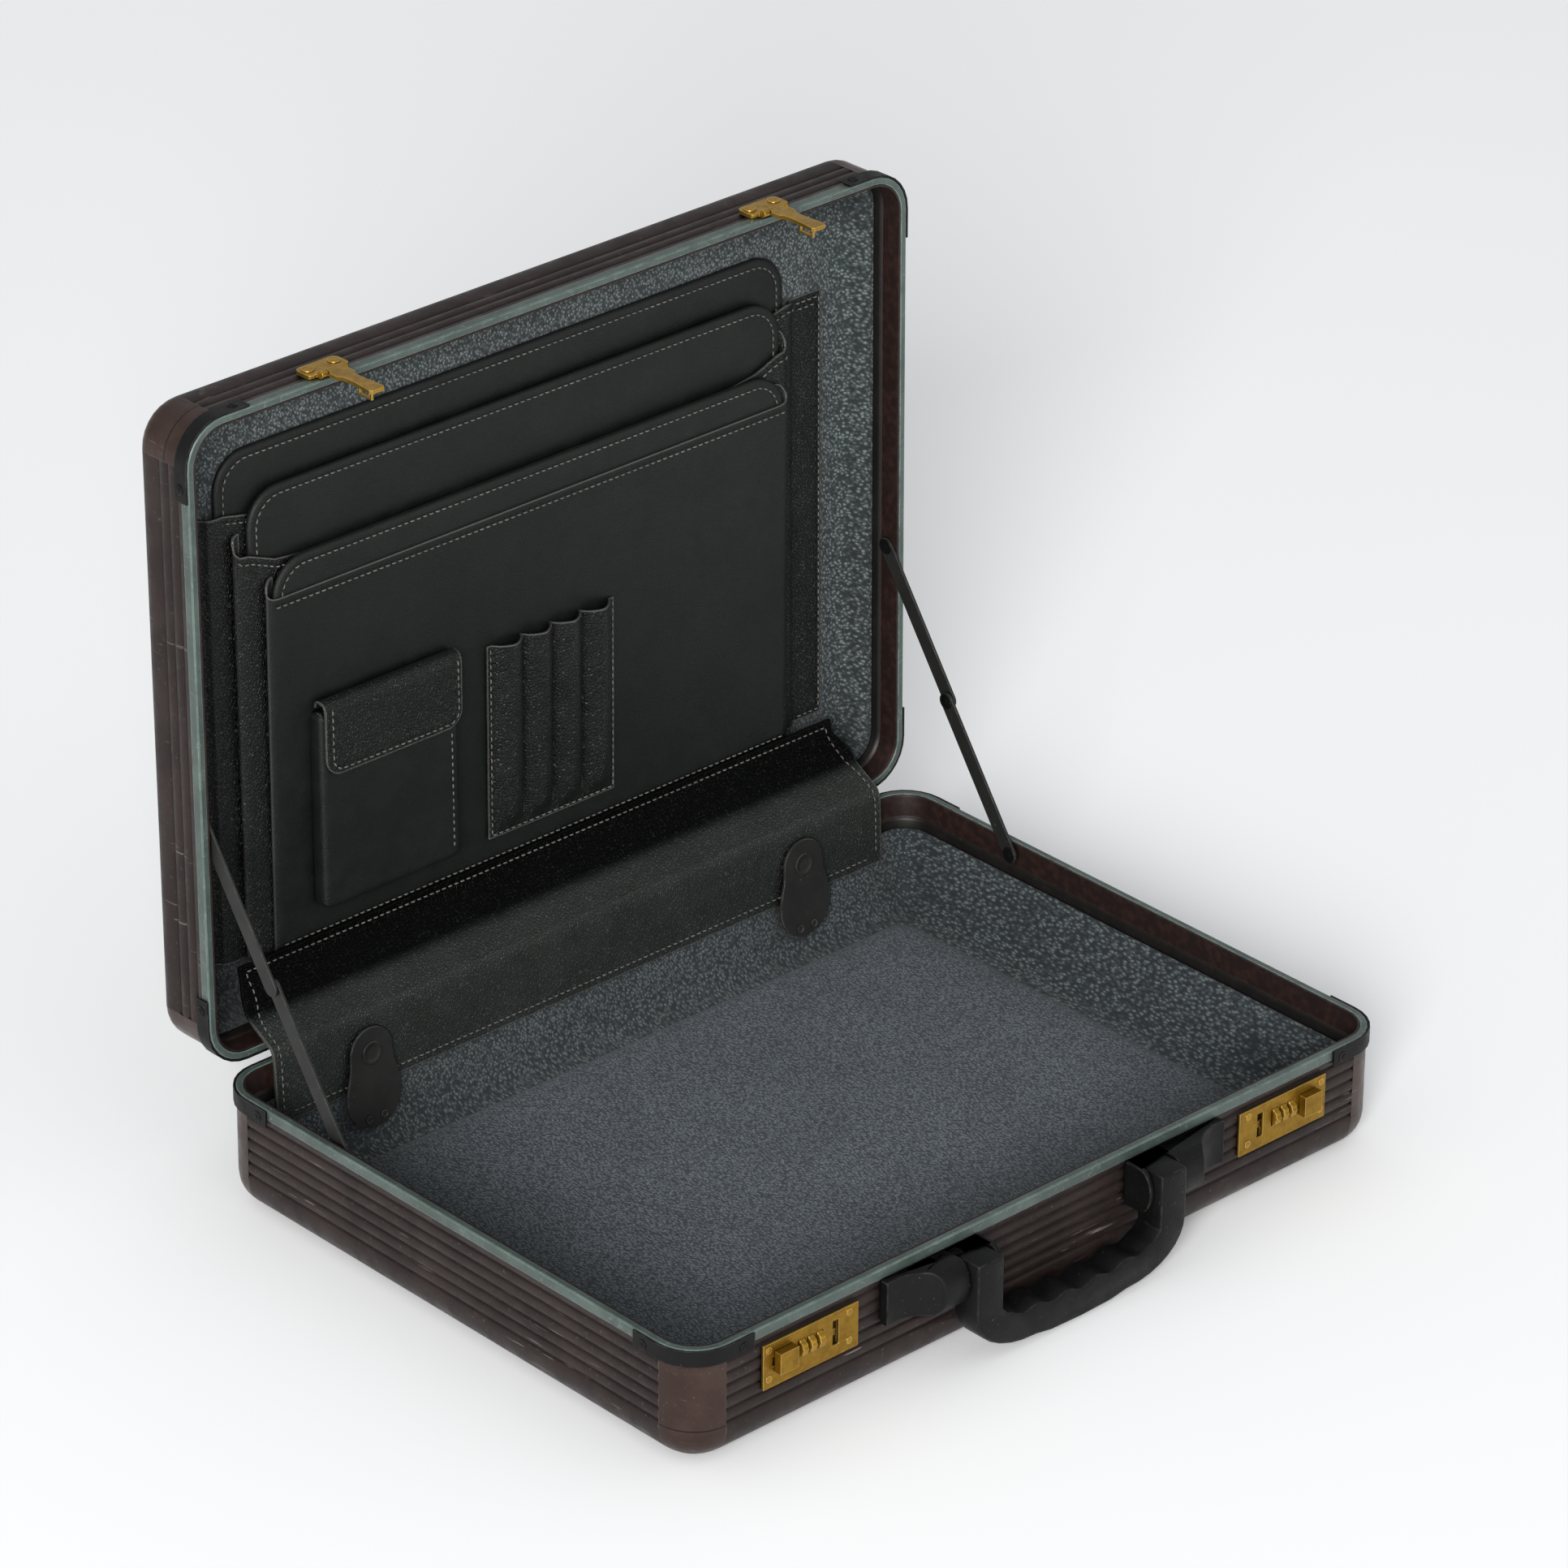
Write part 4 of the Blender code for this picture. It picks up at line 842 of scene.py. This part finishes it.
# -------- hinge cover
COVER_HALF = 0.2020
COVER_PATH = [(0.1335, LID_FLOOR - 0.0170), (0.1375, LID_FLOOR - 0.0175), (0.1415, 0.0812),
              (0.1450, 0.0780), (0.1500, 0.0735), (0.1552, 0.0690)]
COVER_FLARE = 0.0055    # how much narrower the cover is on the lid's side


def cover_half(share):
    """Half the cover's width, from its lid end (0) to its base end (1): it flares out over the ridge."""
    t = min(1.0, max(0.0, (share - 0.12) / 0.30))
    return COVER_HALF - COVER_FLARE * (1 - t * t * (3 - 2 * t))


def build_hinge_cover():
    """Leather from the organiser's foot over the hinge and down the rear wall."""
    lid_side = [opened(0, y, z) for y, z in COVER_PATH]
    centre = [(p.y, p.z) for p in lid_side]
    centre += [(0.1662, 0.0742), (0.1630, 0.0720), (0.1614, 0.0668), (0.1607, 0.0560), (0.1602, 0.0430),
               (0.1596, 0.0318)]
    line = smooth_line(centre, 7)
    columns = 60
    rows = []
    for i, (y, z) in enumerate(line):
        row = []
        half = cover_half(i / (len(line) - 1))
        for k in range(columns + 1):
            x = -half + 2 * half * k / columns
            ripple = 0.00025 * sin(k * 1.9) * sin(k * 0.37 + z * 60)
            row.append((x, y, z + ripple))
        rows.append(row)
    piece = add_mesh("hinge_cover_leather", *grid(rows), "leather_cover", None)
    settle(piece, 0.0015, 0.0, angle=50)
    for modifier in list(piece.modifiers):
        if modifier.type != "EDGE_SPLIT":
            with bpy.context.temp_override(object=piece, active_object=piece, selected_objects=[piece]):
                bpy.ops.object.modifier_apply(modifier=modifier.name)
    return piece, line


def finish_cover():
    """Stitches the cover."""
    piece, line = build_hinge_cover()
    path = [(0.0, y, z) for y, z in line]
    spots = resampled(path, 0.001)
    lift = 0.0009

    def raised(index, x):
        place, ahead = spots[index]
        out = Vector((0, ahead.z, -ahead.y))
        return Vector((x, place.y, place.z)) + out * lift
    edge = cover_half(0.0) - 0.0040
    ends = (3, len(spots) - 5)
    seams = [[raised(i, x) for x in (-edge, -0.1, 0.0, 0.1, edge)] for i in ends]
    seams += [[raised(i, s * (cover_half(i / len(spots)) - 0.0040)) for i in range(ends[0], ends[1], 2)]
              for s in (-1, 1)]

    def out(place):
        near = min(spots, key=lambda s: (s[0].y - place.y) ** 2 + (s[0].z - place.z) ** 2)
        return Vector((0, near[1].z, -near[1].y))
    sewn = sew("hinge_cover_stitches", seams, None, out)
    for o in (piece, sewn):
        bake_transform(o)
    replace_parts(piece, "hinge_cover")


# -------- lining cloth
FLOOR_BASE = 0.0027     # lining surface above the base's underside
CLOTH = 0.0008


def tray_profile(edge, top_inset, lean, fillet, crown, steps=8):
    """(inset, height over the floor) down a leaning side, round to the floor and in to its middle."""
    knee = top_inset + lean
    line = [(top_inset - 0.0008, edge - 0.0010), (top_inset - 0.0004, edge),
            (top_inset + 0.0004, edge - 0.0002)]
    line += [(top_inset + lean * k / 6, edge - (edge - fillet) * k / 6) for k in range(1, 6)]
    for k in range(steps + 1):
        a = radians(90 * k / steps)
        line.append((knee + (1 - cos(a)) * fillet, fillet - fillet * sin(a)))
    foot = knee + fillet
    line += [(foot + 0.0006, -0.0004), (foot + 0.0014, -0.0003)]
    side_count = len(line)
    line += [(foot + 0.0030, crown * 0.6), (foot + 0.0060, crown), (foot + 0.0300, crown), (0.1000, crown),
             (0.1500, crown)]
    return line, side_count


def lining_cloth(part, place, profile, side_count, side_material):
    """Cloth glued over the lining's sides and floor: pebbled sides, a crease, and the floor's own weave."""
    loops = []
    for inset, height in profile:
        radius = max(CORNER - inset, 0.0095)
        loops.append([(x, y, height) for x, y in rounded(-HALF_X, HALF_X, -HALF_Y, HALF_Y,
                                                         (radius + inset,) * 4, inset, 8)])
    points, faces = stacked(loops, cap_first=False)
    piece = add_mesh(f"{part}_lining_cloth", points, faces, side_material, part, "lining", place)
    if part == "base":
        piece.data.materials.append(M["floor_cloth"])
        count = len(loops[0])
        first = (side_count - 1) * count
        for polygon in piece.data.polygons:
            polygon.material_index = 1 if polygon.index >= first else 0
    settle(piece, CLOTH, -1.0, angle=60)
    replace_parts(piece, f"{part}_lining")


def build_lining_cloths():
    profile, side_count = tray_profile(0.0425, 0.0074, 0.0036, 0.0150, 0.0006)
    lining_cloth("base", lambda x, y, h: Vector((x, y, FLOOR_BASE + h)), profile, side_count, "side_cloth")
    profile, side_count = tray_profile(0.0190, 0.0074, 0.0022, 0.0120, 0.0)
    lining_cloth("lid", in_lid, profile, side_count, "lid_cloth")


# -------- metal details
HEAD = [(0.0022, 0.0), (0.0022, 0.00025), (0.0019, 0.00045), (0.0017, 0.00030), (0.0014, 0.00035),
        (0.0009, 0.00065), (0.0004, 0.00080), (0.0001, 0.00082)]


def heads(name, spots, radius, height, material, body, slot, out, place=plain, base=HEAD):
    """Round heads such as rivets and snaps, all as one piece."""
    shapes = []
    for spot in spots:
        scaled = [(r * radius / base[0][0], h * height / base[-1][1]) for r, h in base]
        shapes.append(moved(turned(scaled, 20), place(*spot), out(spot)))
    piece = add_mesh(name, *joined(shapes), material, body, slot)
    return settle(piece, angle=50)


def shell_out(spot):
    x, y = spot[0], spot[1]
    return Vector((0, math.copysign(1, y), 0)) if abs(y) > 0.169 else Vector((math.copysign(1, x), 0, 0))


def lid_out(spot):
    way = shell_out(spot)
    return opened(way.x, HINGE_Y + way.y, HINGE_Z) - opened(0, HINGE_Y, HINGE_Z)


def build_rivets():
    """A rivet on each leg of every corner bracket."""
    for part, place, out, z in (("base", plain, shell_out, RIM - 0.0056),
                                ("lid", opened, lid_out, RIM + 0.0056)):
        spots = []
        for sx in (-1, 1):
            for sy in (-1, 1):
                spots.append((sx * 0.1985, sy * 0.1716, z))
                spots.append((sx * 0.2316, sy * 0.1385, z))
        heads(f"{part}_bracket_rivets", spots, 0.0027, 0.0009, "iron", part, "black_metal", out, place)


def build_tab_details():
    """Raised outline, press stud and two small studs on each keyhole tab."""
    lean = radians(4.86)
    up = Vector((0, sin(lean), cos(lean)))
    out = Vector((0, -cos(lean), sin(lean)))
    foot = Vector((0, 0.1530, 0.0115))
    for side, sx in SIDES:
        shapes = []
        for x, height, radius, tall in ((0.0, 0.0405, 0.0062, 0.0007), (-0.0048, 0.0055, 0.0022, 0.0007),
                                        (0.0048, 0.0055, 0.0022, 0.0007)):
            centre = foot + up * height + Vector((sx * 0.1444 + x, 0, 0)) + out * 0.0001
            ring = [(radius, 0.0), (radius, tall * 0.6), (radius * 0.93, tall), (radius * 0.80, tall),
                    (radius * 0.72, tall * 0.45), (radius * 0.40, tall * 0.40), (0.0001, tall * 0.40)]
            shapes.append(moved(turned(ring, 28), centre, out))
        piece = add_mesh(f"tab_studs_{side}", *joined(shapes), "tab_plastic", "base", "black_plastic")
        settle(piece, angle=45)


DIAL_X = (0.1513, 0.1568, 0.1623)
DIAL_AXIS = (-0.1699, 0.0426)   # Y, Z
PLATE_FRONT = -0.1716
LOCK_CORNERS = [(x, z) for x in (0.1832, 0.1325) for z in (0.0497, 0.0343)]
HASP_X, HASP_FRONT = 0.1410, -0.1728


def build_lock_details():
    """Rivets at each lock plate's corners, and the knurled dial wheels."""
    for side, sx in SIDES:
        corners = [(sx * x, PLATE_FRONT, z) for x, z in LOCK_CORNERS]
        heads(f"lock_rivets_{side}", corners, 0.0020, 0.0006, "brass_screw", "base", "brass",
              lambda s: Vector((0, -1, 0)))
        for i, x in enumerate(DIAL_X, 1):
            wheel = [(0.0030, -0.0019), (0.0042, -0.0019), (0.0047, -0.0015),
                     (0.0047, 0.0015), (0.0042, 0.0019), (0.0030, 0.0019)]
            shape = moved(turned(wheel, 60, 0.045, 10), (sx * x, *DIAL_AXIS), (1, 0, 0))
            piece = add_mesh(f"dial_wheel_{side}_{i}", *shape, "brass_screw", f"dial_{side}_{i}", "brass")
            settle(piece, angle=45)
            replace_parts(piece, f"dial_{side}_{i}")


def build_lock_cases():
    """The brass box behind each lock plate, which shows through its slot and round its dials."""
    for side, sx in SIDES:
        loops = []
        for inset, y in ((0.0, -0.1684), (0.0, -0.1662), (0.0009, -0.1656)):
            line = rounded(0.1377, 0.1808, 0.0316, 0.0488, (0.002,) * 4, inset, 4)
            loops.append([(sx * x, y, z) for x, z in line])
        piece = add_mesh(f"lock_case_{side}", *stacked(loops, cap_first=False), "brass", "base", "brass")
        settle(piece, 0.0004, 1.0)


def build_hasp_screws():
    """Two big flat screw heads on each hasp's plate."""
    for side, sx in SIDES:
        spots = [(sx * HASP_X + x, HASP_FRONT, RIM + 0.0100) for x in (-0.0080, 0.0080)]
        disc = [(0.0034, 0.0), (0.0034, 0.0002), (0.0032, 0.0004), (0.0031, 0.0003), (0.0001, 0.00035)]
        heads(f"hasp_screws_{side}", spots, 0.0034, 0.0006, "brass_screw", "lid", "brass", lid_out, opened,
              disc)


STAY_BASE = (0.2217, 0.0856, 0.0577)         # inner face of the lower arm, at its pivot
STAY_LID = (0.2236, 0.0393, RIM + 0.0069)     # of the upper arm, in the closed lid


def build_stay_rivets():
    """Ringed rivet heads on the inner side of each stay: at the base, the lid and the elbow."""
    cap = [(0.0042, 0.0), (0.0042, 0.0004), (0.0037, 0.0007), (0.0033, 0.0004), (0.0022, 0.0005),
           (0.0010, 0.0009), (0.0001, 0.0010)]
    for side, sx in SIDES:
        foot = Vector((sx * STAY_BASE[0], *STAY_BASE[1:]))
        lid_point = opened(sx * STAY_LID[0], *STAY_LID[1:])
        top = Vector((sx * STAY_BASE[0], lid_point.y, lid_point.z))
        for name, place, arm in (("base", foot, "lower"), ("lid", lid_point, "upper"),
                                 ("elbow", foot.lerp(top, 0.5), "lower")):
            pin = moved(turned(cap, 24), place, (-sx, 0, 0))
            add_mesh(f"stay_{name}_rivet_{side}", *pin, "iron", f"stay_{arm}_{side}", "black_metal")


build_flaps()
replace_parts(build_back_pocket(), "pocket_middle")
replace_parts(build_middle_pocket(), "pocket_front")
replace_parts(build_front_pocket(), "pocket_front")
build_card_pocket()
build_card_flap()
build_pen_sleeves()
finish_cover()
build_lining_cloths()
build_lock_cases()
build_rivets()
build_tab_details()
build_lock_details()
build_hasp_screws()
build_stay_rivets()


# -------- floor, light and camera
WORLD_LIGHT = 0.57
KEY_LIGHT = 880.0
KEY_PLACE = (-6.3, -5.3, 3.66)
KEY_SIZE = 3.6


def build_stage():
    """A wide pale floor."""
    mesh = bpy.data.meshes.new("floor")
    reach = 40.0
    mesh.from_pydata([(-reach, -reach, 0), (reach, -reach, 0), (reach, reach, 0), (-reach, reach, 0)], [],
                     [(0, 1, 2, 3)])
    floor = bpy.data.objects.new("floor", mesh)
    floor.location.z = -0.0002
    bpy.context.scene.collection.objects.link(floor)
    r = Recipe("pale_floor")
    tone = r.mix(r.span(r.noise(0.9, 2), 0.3, 0.7), "fbfbfb", "fcfcfc")
    mesh.materials.append(r.done(tone, 0.9, specular=0.0))


def area_light(name, place, aim, size, watts):
    data = bpy.data.lights.new(name, "AREA")
    data.shape = "DISK"
    data.size = size
    data.energy = watts
    lamp = bpy.data.objects.new(name, data)
    lamp.location = place
    lamp.rotation_mode = "QUATERNION"
    lamp.rotation_quaternion = (Vector(aim) - Vector(place)).to_track_quat("-Z", "Y")
    bpy.context.scene.collection.objects.link(lamp)


def build_lights():
    world = bpy.data.worlds.new("studio")
    bpy.context.scene.world = world
    world.use_nodes = True
    world.node_tree.nodes["Background"].inputs["Color"].default_value = (0.97, 0.985, 1.0, 1.0)
    world.node_tree.nodes["Background"].inputs["Strength"].default_value = WORLD_LIGHT
    area_light("key", KEY_PLACE, (0.0, 0.0, 0.10), KEY_SIZE, KEY_LIGHT)


def build_camera():
    """The camera stands in front and to the left, and looks down on the open case."""
    azimuth, elevation, roll = radians(-43.111), radians(27.929), radians(0.558)
    ahead = Vector((-sin(azimuth) * cos(elevation), cos(azimuth) * cos(elevation), -sin(elevation)))
    right = ahead.cross(Vector((0, 0, 1))).normalized()
    up = right.cross(ahead)
    turned_right = cos(roll) * right + sin(roll) * up
    turned_up = -sin(roll) * right + cos(roll) * up
    data = bpy.data.cameras.new("camera")
    data.sensor_width = 36.0
    data.lens = 173.97
    data.clip_start, data.clip_end = 0.1, 120.0
    camera = bpy.data.objects.new("camera", data)
    turn = Matrix((turned_right, turned_up, -ahead)).transposed().to_4x4()
    camera.matrix_world = Matrix.Translation((-2.19315, -2.32509, 1.90534)) @ turn
    bpy.context.scene.collection.objects.link(camera)
    bpy.context.scene.camera = camera


build_stage()
build_lights()
build_camera()
bpy.context.scene.view_settings.view_transform = "Standard"
bpy.context.view_layer.update()
